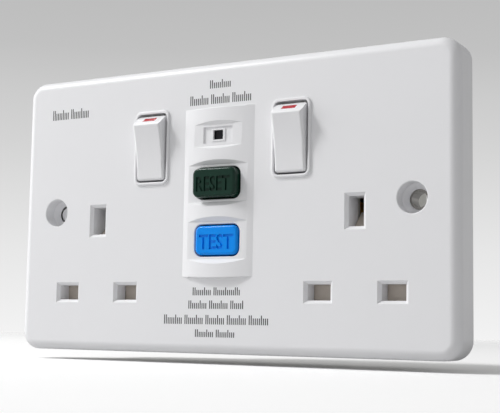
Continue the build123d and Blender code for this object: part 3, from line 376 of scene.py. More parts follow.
def finish(name, tint, shader, mottle=0.03, mottle_size=9.0, grain=None, grain_height=0.0):
    """Principled material whose tint drifts a little over the piece and whose surface has a fine grain.

    mottle_size and grain are feature sizes in millimetres. grain may have one size for each axis.
    """
    made = bpy.data.materials.new(name)
    tree = bare_tree(made)
    place = node(tree, "TexCoord").outputs["Object"]
    cloud = node(tree, "TexNoise", {"Scale": 1 / (mottle_size * MM), "Detail": 3.0}, {"Vector": place})
    dark = [c * (1 - mottle) for c in tint] + [1.0]
    pale = [min(1.0, c * (1 + mottle)) for c in tint] + [1.0]
    blend = node(tree, "Mix", {"data_type": "RGBA", 6: dark, 7: pale}, {0: cloud.outputs["Fac"]})
    surface = node(tree, "BsdfPrincipled", shader, {"Base Color": blend.outputs[2]})
    if grain:
        sizes = grain if isinstance(grain, tuple) else (grain, grain, grain)
        stretch = node(tree, "Mapping", {"Scale": [1 / (s * MM) for s in sizes]}, {"Vector": place})
        relief = node(tree, "TexNoise", {"Scale": 1.0}, {"Vector": stretch.outputs[0]})
        bump = node(
            tree, "Bump", {"Distance": grain_height * MM}, {"Height": relief.outputs["Fac"]}
        )
        tree.links.new(bump.outputs["Normal"], surface.inputs["Normal"])
    node(tree, "OutputMaterial", None, {"Surface": surface.outputs[0]})
    return made


def urea_white(name, tint):
    """Compression-moulded urea: hard, glossy white with the faintest waviness in its highlights."""
    return finish(
        name, tint, {"Roughness": 0.36, "IOR": 1.55, "Specular IOR Level": 0.3},
        mottle=0.008, mottle_size=14.0, grain=3.2, grain_height=0.0035,
    )


def abs_gloss(name, tint):
    """Injection-moulded ABS from a polished tool: saturated, with crisp highlights on its edges."""
    return finish(
        name, tint, {"Roughness": 0.2, "IOR": 1.5, "Specular IOR Level": 0.2},
        mottle=0.04, mottle_size=4.0, grain=1.4, grain_height=0.0015,
    )


def nylon(name, tint):
    """Glass-filled nylon: satin, slightly waxy, with a visible fibre speckle."""
    return finish(
        name, tint, {"Roughness": 0.48, "IOR": 1.53},
        mottle=0.06, mottle_size=1.2, grain=0.5, grain_height=0.006,
    )


def metal(name, hex_code, roughness, grain, grain_height=0.004):
    """Bare or plated metal with the drawing lines or tumbled texture that grain gives."""
    return finish(
        name, linear(hex_code), {"Metallic": 1.0, "Roughness": roughness},
        mottle=0.05, mottle_size=2.5, grain=grain, grain_height=grain_height,
    )


def printing_ink(name, tint):
    """Pad-printed ink: a thin, dark, half-matt film."""
    return finish(name, tint, {"Roughness": 0.55, "IOR": 1.5}, mottle=0.15, mottle_size=0.6)


def reopen(made):
    """Tree, shader and Object coordinates of a finish that gets a pattern."""
    tree = made.node_tree
    surface = next(n for n in tree.nodes if n.type == "BSDF_PRINCIPLED")
    return tree, surface, node(tree, "TexCoord").outputs["Object"]


def overlay(tree, surface, mask, tint):
    """Lays another tint over a finish's own where a mask is 1."""
    under = surface.inputs["Base Color"].links[0].from_socket
    mix = node(tree, "Mix", {"data_type": "RGBA", 7: tint + [1.0]}, {0: mask, 6: under})
    tree.links.new(mix.outputs[2], surface.inputs["Base Color"])


def striped(made, axis, start, end, bands, tint):
    """Adds bands of another tint across an axis, from (low, high) shares of the way from start to end."""
    tree, surface, place = reopen(made)
    split = node(tree, "SeparateXYZ", None, {0: place}).outputs[axis]
    along = node(tree, "MapRange", {"From Min": start, "From Max": end}, {"Value": split}).outputs[0]
    ramp = node(tree, "ValToRGB", None, {"Fac": along})
    ramp.color_ramp.interpolation = "CONSTANT"
    ramp.color_ramp.elements[0].color = (0, 0, 0, 1)
    ramp.color_ramp.elements[1].position = bands[0][0]
    ramp.color_ramp.elements[1].color = (1, 1, 1, 1)
    stops = [(bands[0][1], 0)]
    for low, high in bands[1:]:
        stops += [(low, 1), (high, 0)]
    for position, value in stops:
        ramp.color_ramp.elements.new(position).color = (value, value, value, 1)
    overlay(tree, surface, ramp.outputs["Color"], tint)
    return made


def solder_mask(name):
    """Glass-epoxy board under green solder mask, with copper tracks that show as paler lines."""
    made = finish(name, linear("#1f5a36"), {"Roughness": 0.35, "IOR": 1.5}, mottle=0.1, mottle_size=1.0)
    tree, surface, place = reopen(made)
    cell = 2.5 * MM
    # tracks: the borders between the cells
    cells = node(
        tree, "TexVoronoi",
        {"feature": "DISTANCE_TO_EDGE", "Scale": 1 / cell, "Randomness": 0.55}, {"Vector": place},
    )
    lines = node(
        tree, "MapRange", {"From Min": 0.1, "From Max": 0.14, "To Min": 1.0, "To Max": 0.0},
        {"Value": cells.outputs["Distance"]},
    )
    overlay(tree, surface, lines.outputs[0], linear("#4c8a52"))
    return made


def wound_copper(name):
    """Enamelled copper wire in neat turns, drawn at 0.45 mm pitch so that they show."""
    copper = {"Metallic": 1.0, "Roughness": 0.3}
    made = finish(name, linear("#b5612c"), copper, mottle=0.08, mottle_size=1.5)
    tree, surface, place = reopen(made)
    pitch = 0.45 * MM
    # a wave texture of scale 1 repeats every 0.314 m
    turns = node(tree, "TexWave", {"bands_direction": "X", "Scale": 0.314 / pitch}, {"Vector": place})
    bump = node(tree, "Bump", {"Distance": 0.12 * MM}, {"Height": turns.outputs["Fac"]})
    tree.links.new(bump.outputs["Normal"], surface.inputs["Normal"])
    return made


def make_finishes(tints):
    """One material for each material slot of the record, by slot name."""
    cap_low, cap_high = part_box("capacitor")
    res_low, res_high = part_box("resistors")
    return {
        "white_moulding": urea_white("urea_white", tints.white),
        "rocker_white": urea_white("urea_white_rocker", tints.white),
        "inner_moulding": nylon("polyester_inner_white", tints.inner),
        "carriage_moulding": nylon("nylon_natural", linear("#d8d2c2")),
        "shutter_moulding": nylon("nylon_cream", tints.cream),
        "red_mark": abs_gloss("abs_red", tints.red),
        "black_flag": abs_gloss("abs_black", linear("#1b1b1f")),
        "reset_green": abs_gloss("abs_dark_green", tints.reset),
        "test_blue": abs_gloss("abs_blue", tints.test),
        # zinc-plated steel: cool grey with a fine tumbled texture
        "zinc_screw": metal("zinc_plated_steel", "#b9bcc0", 0.32, 0.4),
        # nickelled tube: its grey is darkened and warmed as painted shade, for where it sits deep in the
        # fixing recess
        "eyelet_metal": metal("nickelled_tube_painted_shade", "#83817e", 0.3, (0.9, 4.0, 0.9)),
        # hard-drawn spring wire: dark and bright along its turns
        "spring_steel": metal("spring_wire", "#8d9094", 0.25, 0.3, 0.002),
        "plunger_nylon": nylon("nylon_black", linear("#2a2a2c")),
        # rolled brass strip: lines along the strip
        "contact_brass": metal("rolled_brass", "#c8a15a", 0.3, (3.0, 0.25, 3.0)),
        "magnet_steel": metal("pressed_steel", "#8f9296", 0.38, (2.5, 2.5, 0.3)),
        "copper_winding": wound_copper("enamelled_copper"),
        "core_black": nylon("cased_core", linear("#26262a")),
        "board_green": solder_mask("solder_mask"),
        # dipped capacitor: glossy blue with one pale band round it
        "capacitor_blue": striped(
            abs_gloss("dipped_blue", linear("#1f4e9c")), 1, cap_low.y, cap_high.y,
            ((0.72, 0.8),), linear("#c8ccd2"),
        ),
        # carbon-film resistors: tan bodies with three colour bands
        "resistor_tan": striped(
            abs_gloss("resistor_lacquer", linear("#c9a678")), 2, res_low.z, res_high.z,
            ((0.2, 0.28), (0.38, 0.46), (0.72, 0.8)), linear("#7a2f1c"),
        ),
    }


finishes = {}


def dress(piece, slot, body="frame"):
    """Gives a new piece its finish, its material slot and the body that it moves with."""
    piece.data.materials.clear()
    piece.data.materials.append(finishes[slot])
    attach(piece, body)
    return piece


# Front plate

# width and height of a live or neutral aperture and of an earth aperture
FLAT_PIN = (7.1 * MM, 4.5 * MM)
EARTH_PIN = (4.6 * MM, 8.4 * MM)
# fixing hole: small end of the cone, bore, and seat of the tube's flange
SEAT_RADIUS = 2.8 * MM
BORE_RADIUS = 2.85 * MM
FLANGE_RADIUS = 3.95 * MM
FLANGE_SEAT = 0.5 * MM
# edge of the rocker rims, and the screw posts with their pilot holes
RIM_EDGE = 0.45 * MM
POST_GAP = 2 * MM
PILOT_RADIUS = 1.45 * MM
PILOT_REACH = 0.6 * MM
# flag window: half sizes of its pocket, depths, and the share of the frame's width at its ends
POCKET_WIDTH = 4.95 * MM
POCKET_HEIGHT = 2.45 * MM
POCKET_DEPTH = 0.45 * MM
FRAME_DEPTH = 0.15 * MM
FRAME_ENDS = 0.64
# the flag's travel and its room
FLAG_TRAVEL = 3.25 * MM
FLAG_SIDES = 0.6 * MM
FLAG_FRONT = 0.2 * MM
FLAG_ENDS = 0.4 * MM


def plate_shell(plate):
    """Open-backed plate with rounded corners and a rounded edge round its face."""
    front = -plate.depth
    shell = block("front_moulding", (plate_low.x, plate_high.x), (front, 0), (plate_low.z, plate_high.z))
    round_edges(shell, along_y, plate.corner, 14)
    round_edges(shell, at_depth(front), plate.edge, 10)
    inside = rounded_block(
        "inside",
        (plate_low.x + plate.side_wall, plate_high.x - plate.side_wall),
        (front + plate.wall, MM),
        (plate_low.z + plate.side_wall, plate_high.z - plate.side_wall),
        plate.corner - plate.side_wall,
    )
    return join_up(shell, inside)


def fascia_arch(plate):
    """Arched fascia: a slice of a large cylinder with a bowed lower edge."""
    front = -plate.depth
    half = plate.fascia_width / 2
    root = 0.5 * MM
    arch_radius = (half ** 2 + plate.fascia_rise ** 2) / (2 * plate.fascia_rise)
    axis_y = front - plate.fascia_rise + arch_radius
    bow_radius = (half ** 2 + plate.fascia_bow ** 2) / (2 * plate.fascia_bow)
    foot = -plate.fascia_drop - plate.fascia_bow
    arch = rod("fascia", arch_radius, (0, axis_y, foot - MM), (0, axis_y, plate.fascia_top), sides=720)
    sides = block(
        "fascia_sides", (-half, half), (front - plate.fascia_rise - MM, front + root),
        (foot - 2 * MM, plate.fascia_top + MM),
    )
    join_up(arch, sides, "INTERSECT")
    bow = rod(
        "fascia_bow", bow_radius, (0, front - 5 * MM, foot + bow_radius),
        (0, front + 5 * MM, foot + bow_radius), sides=1440,
    )
    return join_up(arch, bow, "INTERSECT")


def recess_cutter(plate, z, tall, floor):
    """Tool for a flat recess in the arch, whose upper and lower sides lean outwards."""
    front = -plate.depth
    past = plate.fascia_rise + MM
    half = plate.fascia_width / 2 + 0.3 * MM
    cutter = block("recess", (-half, half), (front - past, front - floor), around(z, tall / 2))
    for up in (-1, 1):
        slide(
            cutter, lambda v: v.co.y < front - past / 2 and (v.co.z - z) * up > 0,
            (0, 0, up * (past - floor) * plate.recess_lean),
        )
    return cutter


def aperture_mouth(plate, x, z, width, height):
    """Tool for the chamfer round a pin aperture."""
    front = -plate.depth
    lip = 0.1 * MM
    deep = (front - lip, front + plate.chamfer)
    mouth = block("mouth", around(x, width / 2), deep, around(z, height / 2))
    for axis, middle in ((0, x), (2, z)):
        for way in (-1, 1):
            move = [0, 0, 0]
            move[axis] = way * (plate.chamfer + lip)
            slide(mouth, lambda v: v.co.y < front and (v.co[axis] - middle) * way > 0, move)
    return mouth


def screw_recess(plate, x):
    """Tool for a fixing recess: a straight bore that ends in a cone for the screw's head."""
    front = -plate.depth
    floor = front + plate.recess_depth
    tip = floor + plate.recess_seat
    cutter = rod("recess", plate.recess_radius, (x, front - MM, 0), (x, tip, 0))
    pick(cutter, "FACE", lambda face: all(abs(v.co.y - tip) < 0.01 * MM for v in face.verts))
    bpy.ops.transform.translate(value=(0, floor - tip, 0))
    bpy.ops.mesh.extrude_region_move(TRANSFORM_OT_translate={"value": (0, tip - floor, 0)})
    small = SEAT_RADIUS / plate.recess_radius
    bpy.ops.transform.resize(value=(small, 1, small), center_override=(x, tip, 0))
    bpy.ops.object.mode_set(mode="OBJECT")
    return cutter


def gather(name, pieces):
    """Joins separate tools into one object."""
    deselect()
    for piece in pieces:
        piece.select_set(True)
    bpy.context.view_layer.objects.active = pieces[0]
    bpy.ops.object.join()
    pieces[0].name = name
    return pieces[0]


def pin_apertures(plate):
    """Middle, width and height of each pin aperture."""
    places = []
    for s in SIDES:
        x = s * plate.outlet_spacing / 2
        places += [(x + d * plate.pin_pitch / 2, -plate.outlet_drop, *FLAT_PIN) for d in (-1, 1)]
        places.append((x, plate.pin_pitch - plate.outlet_drop, *EARTH_PIN))
    return places


class SOCKET_OT_front_plate(bpy.types.Operator):
    """Model the front plate with its fascia, rims, recesses and apertures"""

    bl_idname = "wall_socket.front_plate"
    bl_label = "Front plate"

    def execute(self, context):
        plate = context.scene.socket_plate
        button = context.scene.socket_buttons
        front = -plate.depth
        inner = front + plate.wall
        shell = plate_shell(plate)
        join_up(shell, fascia_arch(plate), "UNION")
        window_floor = front - plate.window_recess_floor
        for z, tall, floor in (
            (button.reset_height, plate.button_recess, plate.button_recess_floor),
            (-button.test_drop, plate.button_recess, plate.button_recess_floor),
            (button.window_height, plate.window_recess, plate.window_recess_floor),
        ):
            join_up(shell, recess_cutter(plate, z, tall, floor))

        # rims round the rockers, bosses round the fixing holes and posts for the housing screws
        solids = []
        for s in SIDES:
            x = s * plate.rocker_offset
            rim = rounded_block(
                "rim",
                (x - plate.rocker_hole_width / 2 - plate.rim, x + plate.rocker_hole_width / 2 + plate.rim),
                (front - plate.rim_rise, front + MM / 2),
                (
                    plate.rocker_height - plate.rocker_hole_height / 2 - plate.rim,
                    plate.rocker_height + plate.rocker_hole_height / 2 + plate.rim,
                ),
                plate.rocker_hole_corner + plate.rim,
            )
            round_edges(rim, at_depth(front - plate.rim_rise), RIM_EDGE, 4)
            solids.append(rim)
            x = s * plate.fixing_spacing / 2
            solids.append(rod("boss", plate.boss_radius, (x, inner - MM, 0), (x, 0, 0)))
        for x, z in screw_places():
            end = housing_low.y - POST_GAP
            solids.append(rod("post", plate.post_radius, (x, inner - MM, z), (x, end, z)))
        for x, z, width, height in pin_apertures(plate):
            # the earth collar has no lower wall, so that the shutter's ramp can pass
            flat = height < width
            below = plate.collar_wall if flat else -0.02 * MM
            solids.append(block(
                "collar", (x - width / 2 - plate.collar_wall, x + width / 2 + plate.collar_wall),
                (inner - MM, inner + (plate.collar_depth if flat else plate.earth_collar)),
                (z - height / 2 - below, z + height / 2 + plate.collar_wall),
            ))
        for solid in solids:
            join_up(shell, solid, "UNION")

        # frame and pocket of the flag window
        half_x = button.window_width / 2 + plate.window_frame
        half_z = button.window_opening / 2 + plate.window_frame * FRAME_ENDS
        pocket = block(
            "pocket", (-POCKET_WIDTH, POCKET_WIDTH), (window_floor - MM, window_floor + POCKET_DEPTH),
            around(button.window_height, POCKET_HEIGHT),
        )
        frame_block = block(
            "frame", (-half_x, half_x), (window_floor + FRAME_DEPTH, window_floor + MM),
            around(button.window_height, half_z),
        )
        join_up(shell, join_up(pocket, frame_block))
        flag_low, flag_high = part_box("flag_black")
        slot = block(
            "flag_slot", (flag_low.x - FLAG_SIDES, flag_high.x + FLAG_SIDES),
            (flag_low.y - FLAG_FRONT, inner + MM),
            (flag_low.z - FLAG_TRAVEL - FLAG_ENDS, flag_high.z + FLAG_TRAVEL + FLAG_ENDS),
        )
        join_up(shell, slot)

        # holes that go right through
        reach = (front - plate.fascia_rise - MM, inner + plate.earth_collar + MM / 10)
        holes = [
            block("hole", around(x, width / 2), reach, around(z, height / 2))
            for x, z, width, height in pin_apertures(plate)
        ]
        for s in SIDES:
            x = s * plate.rocker_offset
            holes.append(rounded_block(
                "hole",
                around(x, plate.rocker_hole_width / 2), reach,
                around(plate.rocker_height, plate.rocker_hole_height / 2), plate.rocker_hole_corner,
            ))
            x = s * plate.fixing_spacing / 2
            holes.append(rod("bore", BORE_RADIUS, (x, front - MM, 0), (x, MM, 0)))
            holes.append(rod("flange_seat", FLANGE_RADIUS, (x, -FLANGE_SEAT, 0), (x, MM, 0)))
        for z in (button.reset_height, -button.test_drop):
            holes.append(rounded_block(
                "hole", around(0, button.width / 2 + button.gap), reach,
                (z - button.height / 2 - button.gap, z + button.height / 2 + button.gap),
                button.corner + button.gap,
            ))
        holes.append(block(
            "hole", (-button.window_width / 2, button.window_width / 2), reach,
            around(button.window_height, button.window_opening / 2),
        ))
        for x, z in screw_places():
            start = inner - PILOT_REACH
            holes.append(rod("pilot", PILOT_RADIUS, (x, start, z), (x, housing_low.y + MM, z)))
        join_up(shell, gather("holes", holes))

        # chamfers of the apertures and the fixing recesses
        mouths = [aperture_mouth(plate, *place) for place in pin_apertures(plate)]
        mouths += [screw_recess(plate, s * plate.fixing_spacing / 2) for s in SIDES]
        join_up(shell, gather("mouths", mouths))
        weld(shell)
        self.soften(shell, plate, button)
        smooth(shell)
        dress(shell, "white_moulding")
        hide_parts("front_plate")
        return {"FINISHED"}

    def soften(self, shell, plate, button):
        """Rounds the fine edges of the face, each by what its step has room for."""
        front = -plate.depth
        turned = sharp(50)

        def middle(edge):
            return (edge.verts[0].co + edge.verts[1].co) / 2

        def on_face(edge):
            return turned(edge) and all(v.co.y < front + 0.3 * MM for v in edge.verts)

        def near_window(point):
            return abs(point.x) < 6 * MM and abs(point.z - button.window_height) < 4 * MM

        def rim_foot(edge, point):
            at_face = all(abs(v.co.y - front) < 0.02 * MM for v in edge.verts)
            return at_face and abs(abs(point.x) - plate.rocker_offset) < 7 * MM and point.z > 5 * MM

        def arch_end(point):
            ends = (plate.fascia_top, -plate.fascia_drop)
            near = any(abs(point.z - end) < MM for end in ends)
            return near and abs(point.x) > 0.78 * plate.fascia_width / 2

        def plain(edge):
            point = middle(edge)
            left_out = near_window(point) or rim_foot(edge, point) or arch_end(point)
            return on_face(edge) and not left_out

        round_edges(shell, plain, plate.fine_edge, 3)
        round_edges(shell, lambda e: on_face(e) and near_window(middle(e)), 0.1 * MM, 2)


def screw_places():
    """Places of the four housing screws, from the frame."""
    low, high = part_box("housing_screws")
    head = 2.5 * MM
    return [
        (low.x + head, high.z - head), (high.x - head, high.z - head),
        (-22 * MM, low.z + head), (22 * MM, low.z + head),
    ]


# Printed marks: plain strokes in rows, where the plate carries print

PRINT_ROWS = (
    (-63.3, -48.6, 29.8, 33.5),
    (-3.8, 3.7, 34.9, 37.9),
    (-10.6, 10.7, 30.2, 33.6),
    (-8.3, 8.0, -26.4, -23.6),
    (-9.7, 9.2, -30.3, -27.4),
    (-18.2, 17.4, -34.8, -31.6),
    (-7.2, 6.4, -38.5, -35.8),
)
STROKE_PITCH = 0.66
STROKE_WIDTH = 0.31
WORD_STROKES = 11


class SOCKET_OT_print_rows(bpy.types.Operator):
    """Lay rows of plain strokes on the face, as thick as a film of ink"""

    bl_idname = "wall_socket.print_rows"
    bl_label = "Printed rows"

    def execute(self, context):
        front = -context.scene.socket_plate.depth
        strokes = []
        for left, right, low, high in PRINT_ROWS:
            count = round((right - left) / STROKE_PITCH)
            for i in range(count):
                beat = i % WORD_STROKES
                if beat == WORD_STROKES - 1 and i < count - 4:
                    continue
                top = high if beat in (0, 1, 6) else low + 0.74 * (high - low)
                x = left + (i + 0.5) * (right - left) / count
                strokes.append(block(
                    "stroke", ((x - STROKE_WIDTH / 2) * MM, (x + STROKE_WIDTH / 2) * MM),
                    around(front, 0.02 * MM), ((low + 0.3) * MM, (top - 0.2) * MM),
                ))
        rows = gather("printed_rows", strokes)
        dress(rows, "white_moulding")
        rows.data.materials[0] = printing_ink("pad_print", context.scene.socket_finishes.ink)
        return {"FINISHED"}


# Buttons

# flange behind the face
FLANGE_GAP = 0.3 * MM
FLANGE_OVERLAP = 1.2 * MM
FLANGE_THICK = 1.3 * MM
# half the stem's width and height, and a word's place under the button's middle
STEM_HALF = (2.2 * MM, 1.6 * MM)
LEGEND_DROP = 0.45 * MM
# wedge on the reset stem: its ends over the button's middle, and its slope
WEDGE_DEPTH = (-3.0 * MM, 0.6 * MM)
WEDGE_RISE = (1.5 * MM, 6.1 * MM)
WEDGE_SLOPE = 4.5 * MM
# lug on the test stem: its ends under the button's middle
LUG_HALF = 1.5 * MM
LUG_DEPTH = (3.0 * MM, 5.0 * MM)
LUG_DROP = (4.4 * MM, 1.5 * MM)


class SOCKET_OT_buttons(bpy.types.Operator):
    """Model the reset and test buttons with their sunk words, flanges and stems"""

    bl_idname = "wall_socket.buttons"
    bl_label = "Buttons"

    def execute(self, context):
        plate = context.scene.socket_plate
        button = context.scene.socket_buttons
        front = -plate.depth
        flange_front = front + plate.wall + FLANGE_GAP
        for name, z, proud, slot in (
            ("reset", button.reset_height, button.reset_proud, "reset_green"),
            ("test", -button.test_drop, button.test_proud, "test_blue"),
        ):
            low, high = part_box(name + "_button")
            cap = rounded_block(
                name + "_cap", (-button.width / 2, button.width / 2), (front - proud, flange_front),
                around(z, button.height / 2), button.corner, 10,
            )
            round_edges(cap, at_depth(front - proud), button.bevel, 5)
            flange = rounded_block(
                "flange", (low.x, high.x), (flange_front - MM / 10, flange_front + FLANGE_THICK),
                (z - button.height / 2 - FLANGE_OVERLAP, z + button.height / 2 + FLANGE_OVERLAP),
                button.corner,
            )
            join_up(cap, flange, "UNION")
            half_x, half_z = STEM_HALF
            stem = block("stem", (-half_x, half_x), (flange_front + MM, high.y), around(z, half_z))
            if name == "reset":
                key = block("wedge", (-half_x, half_x), WEDGE_DEPTH, (z + WEDGE_RISE[0], z + WEDGE_RISE[1]))
                slide(key, lambda v: v.co.y > 0 and v.co.z > z + 4 * MM, (0, 0, -WEDGE_SLOPE))
            else:
                key = block("lug", (-LUG_HALF, LUG_HALF), LUG_DEPTH, (z - LUG_DROP[0], z - LUG_DROP[1]))
            join_up(stem, key, "UNION")
            join_up(cap, stem, "UNION")
            legend = word(
                "legend", name.upper(), 0, front - proud - 0.1 * MM, z - LEGEND_DROP,
                button.legend_width, button.legend_height, button.legend_depth + 0.1 * MM,
            )
            join_up(cap, legend)
            weld(cap)
            smooth(cap, 40)
            dress(cap, slot, name)
            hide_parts(name + "_button")
        return {"FINISHED"}


# Rear housing

# ribs and pillars inside
RIB_PLACE = 11 * MM
RIB_BREAK = -7 * MM
PILLAR_PLACE = 13 * MM
PILLAR_RADIUS = 1.8 * MM
PILLAR_LIFT = 3.8 * MM
# from a terminal's front to its wire, its driver hole, and its letter under that
WIRE_DEPTH = 4.0 * MM
DRIVER_RADIUS = 2.55 * MM
LETTER_DROP = 7.2 * MM
LETTER_SHAPE = 0.62
# ejector marks, in millimetres across and up, and a sunk bare panel, as moulded backs have
EJECTORS = ((-48, -14), (48, -14), (-30, -26), (30, -26), (-30, 6), (30, 6))
EJECTOR_RADIUS = 2.0 * MM
EJECTOR_DEPTH = 0.15 * MM
PANEL_WIDTH = 21 * MM
PANEL_DEPTH = 0.35 * MM
PANEL_SPAN = (-13 * MM, 9 * MM)
PANEL_CORNER = 1.5 * MM


def housing_cutter(back, inset, y):
    """Block inside the housing's outline, with the notches beside the fixing bosses left out."""
    core = block(
        "core", (housing_low.x + inset, housing_high.x - inset), y,
        (housing_low.z + inset, housing_high.z - inset),
    )
    reach = back.notch_width + inset
    for s in SIDES:
        edge = s * (housing_high.x + MM)
        near = s * (housing_high.x - reach)
        notch = block(
            "notch", (min(edge, near), max(edge, near)), (y[0] - MM, y[1] + MM),
            (-back.notch_height / 2 - inset, back.notch_height / 2 + inset),
        )
        join_up(core, notch)
    return core


class SOCKET_OT_rear_housing(bpy.types.Operator):
    """Model the rear housing with its notches, screw posts, entries and moulded letters"""

    bl_idname = "wall_socket.rear_housing"
    bl_label = "Rear housing"

    def execute(self, context):
        back = context.scene.socket_back
        plate = context.scene.socket_plate
        inner_rear = housing_high.y - back.wall
        housing = housing_cutter(back, 0, (housing_low.y, housing_high.y))

        def outer(edge):
            far_back = all(abs(v.co.y - housing_high.y) < 0.01 * MM for v in edge.verts)
            return far_back or along_y(edge)

        round_edges(housing, outer, back.edge, 4)
        join_up(housing, housing_cutter(back, back.wall, (housing_low.y - MM, inner_rear)))
        solids = [
            rod("post", plate.post_radius, (x, housing_low.y, z), (x, inner_rear + MM / 2, z))
            for x, z in screw_places()
        ]
        chassis_low, chassis_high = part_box("trip_chassis")
        board_low, board_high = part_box("circuit_board")
        for s in SIDES:
            for low, high in ((chassis_low.z + MM, RIB_BREAK), (MM, chassis_high.z - 2 * MM)):
                solids.append(block(
                    "rib", (s * RIB_PLACE - MM, s * RIB_PLACE + MM),
                    (chassis_high.y, inner_rear + MM / 2), (low, high),
                ))
            x = s * PILLAR_PLACE
            z = board_low.z + PILLAR_LIFT
            solids.append(
                rod("pillar", PILLAR_RADIUS, (x, board_high.y, z), (x, inner_rear + MM / 2, z), sides=32)
            )
        for solid in solids:
            join_up(housing, solid, "UNION")
        past = housing_high.y + MM
        tools = [
            rod("hole", back.screw_clear, (x, housing_low.y - MM, z), (x, past, z), sides=32)
            for x, z in screw_places()
        ]
        letters = []
        for node_name, letter in (
            ("terminal_earth_left", "E"), ("terminal_neutral", "N"),
            ("terminal_live", "L"), ("terminal_earth_right", "E"),
        ):
            low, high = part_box(node_name)
            x = (low.x + high.x) / 2
            wire_y = low.y + WIRE_DEPTH
            driver_z = (low.z + high.z) / 2
            tools.append(block(
                "entry", around(x, back.entry_half),
                (wire_y - back.entry_half, past), (housing_high.z - back.wall, housing_high.z + MM),
            ))
            tools.append(rod(
                "driver", DRIVER_RADIUS, (x, inner_rear - MM / 2, driver_z), (x, past, driver_z), sides=48,
            ))
            letters.append(word(
                "letter", letter, x, housing_high.y - 0.1 * MM, driver_z - LETTER_DROP,
                LETTER_SHAPE * back.mark_height, back.mark_height, back.mark_rise + 0.1 * MM, rear=True,
            ))
        for x, z in EJECTORS:
            tools.append(rod(
                "ejector", EJECTOR_RADIUS, (x * MM, housing_high.y - EJECTOR_DEPTH, z * MM),
                (x * MM, past, z * MM), sides=40,
            ))
        tools.append(rounded_block(
            "panel", around(0, PANEL_WIDTH), (housing_high.y - PANEL_DEPTH, past), PANEL_SPAN, PANEL_CORNER,
        ))
        join_up(housing, gather("holes", tools))
        for letter in letters:
            join_up(housing, letter, "UNION")
        weld(housing)
        smooth(housing)
        dress(housing, "inner_moulding")
        housing.name = "rear_moulding"
        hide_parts("rear_housing")
        return {"FINISHED"}


class SOCKET_OT_inner_finishes(bpy.types.Operator):
    """Give every carried-over piece the finish of its material slot"""

    bl_idname = "wall_socket.inner_finishes"
    bl_label = "Finishes"

    def execute(self, context):
        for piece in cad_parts.values():
            for place, material in enumerate(piece.data.materials):
                slot = material.name.split(".")[0]
                if slot in finishes:
                    piece.data.materials[place] = finishes[slot]
        return {"FINISHED"}


# Stage

def lamp(name, power, place, size):
    """Square lamp that looks at the socket."""
    deselect()
    turn = (-Vector(place)).to_track_quat("-Z", "Y").to_euler()
    bpy.ops.object.light_add(type="AREA", location=place, rotation=turn)
    light = bpy.context.object
    light.name = name
    light.data.energy = power
    light.data.shape = "SQUARE"
    light.data.size = size


# height of the view over the horizon, as the sine of its angle, and the grey seen there
SKY = (
    (-0.03, "#f7f7f7"), (0.0, "#f1f1f1"), (0.066, "#e7e7e7"), (0.111, "#dedede"),
    (0.156, "#d4d4d4"), (0.2, "#cccccc"), (0.243, "#c1c1c1"), (0.286, "#bdbdbd"),
)


def paint_world(ambient, shade_side):
    """Even light that weakens to the right, with a backdrop that pales downwards for camera and gloss."""
    world = bpy.data.worlds.new("studio")
    bpy.context.scene.world = world
    tree = bare_tree(world)
    way = node(tree, "TexCoord").outputs["Generated"]
    across, _, up = node(tree, "SeparateXYZ", None, {0: way}).outputs
    level = node(
        tree, "MapRange",
        {"From Min": -0.3, "From Max": 1.0, "To Min": ambient, "To Max": ambient * shade_side},
        {"Value": across},
    ).outputs[0]
    low, high = SKY[0][0], SKY[-1][0]
    share = node(tree, "MapRange", {"From Min": low, "From Max": high}, {"Value": up}).outputs[0]
    ramp = node(tree, "ValToRGB", None, {"Fac": share})
    stops = ramp.color_ramp.elements
    stops[0].color = linear(SKY[0][1]) + [1.0]
    stops[1].color = linear(SKY[-1][1]) + [1.0]
    for height, grey in SKY[1:-1]:
        stops.new((height - low) / (high - low)).color = linear(grey) + [1.0]
    seen = node(tree, "Background", None, {"Color": ramp.outputs[0]})
    lit = node(tree, "Background", {"Color": (1, 1, 1, 1)}, {"Strength": level})
    rays = node(tree, "LightPath").outputs
    shiny = node(
        tree, "Math", {"operation": "MAXIMUM"},
        {0: rays["Is Glossy Ray"], 1: rays["Is Transmission Ray"]},
    )
    either = node(tree, "Math", {"operation": "MAXIMUM"}, {0: rays["Is Camera Ray"], 1: shiny.outputs[0]})
    mix = node(tree, "MixShader", None, {0: either.outputs[0], 1: lit.outputs[0], 2: seen.outputs[0]})
    node(tree, "OutputWorld", None, {"Surface": mix.outputs[0]})


def floor_finish(reach, paper, bounce, glow):
    """Matt paper that fades out towards its edge: pale for the camera, duller for the light it sends up."""
    made = bpy.data.materials.new("studio_paper")
    tree = bare_tree(made)
    place = node(tree, "TexCoord").outputs["Object"]
    far = node(tree, "VectorMath", {"operation": "LENGTH"}, {0: place}).outputs["Value"]
    fade = node(tree, "MapRange", {"From Min": 0.45 * reach, "From Max": 0.95 * reach}, {"Value": far})
    seen = node(tree, "LightPath").outputs["Is Camera Ray"]
    tints = {6: [*bounce, 1.0], 7: [*paper, 1.0]}
    shade = node(tree, "Mix", {"data_type": "RGBA", **tints}, {0: seen})
    sheet = node(tree, "BsdfDiffuse", None, {"Color": shade.outputs[2]})
    level = node(tree, "Math", {"operation": "MULTIPLY", 1: glow}, {0: seen})
    lift = node(tree, "Emission", None, {"Strength": level.outputs[0]})
    lit = node(tree, "AddShader", None, {0: sheet.outputs[0], 1: lift.outputs[0]})
    clear = node(tree, "BsdfTransparent")
    mix = node(tree, "MixShader", None, {0: fade.outputs[0], 1: lit.outputs[0], 2: clear.outputs[0]})
    node(tree, "OutputMaterial", None, {"Surface": mix.outputs[0]})
    return made


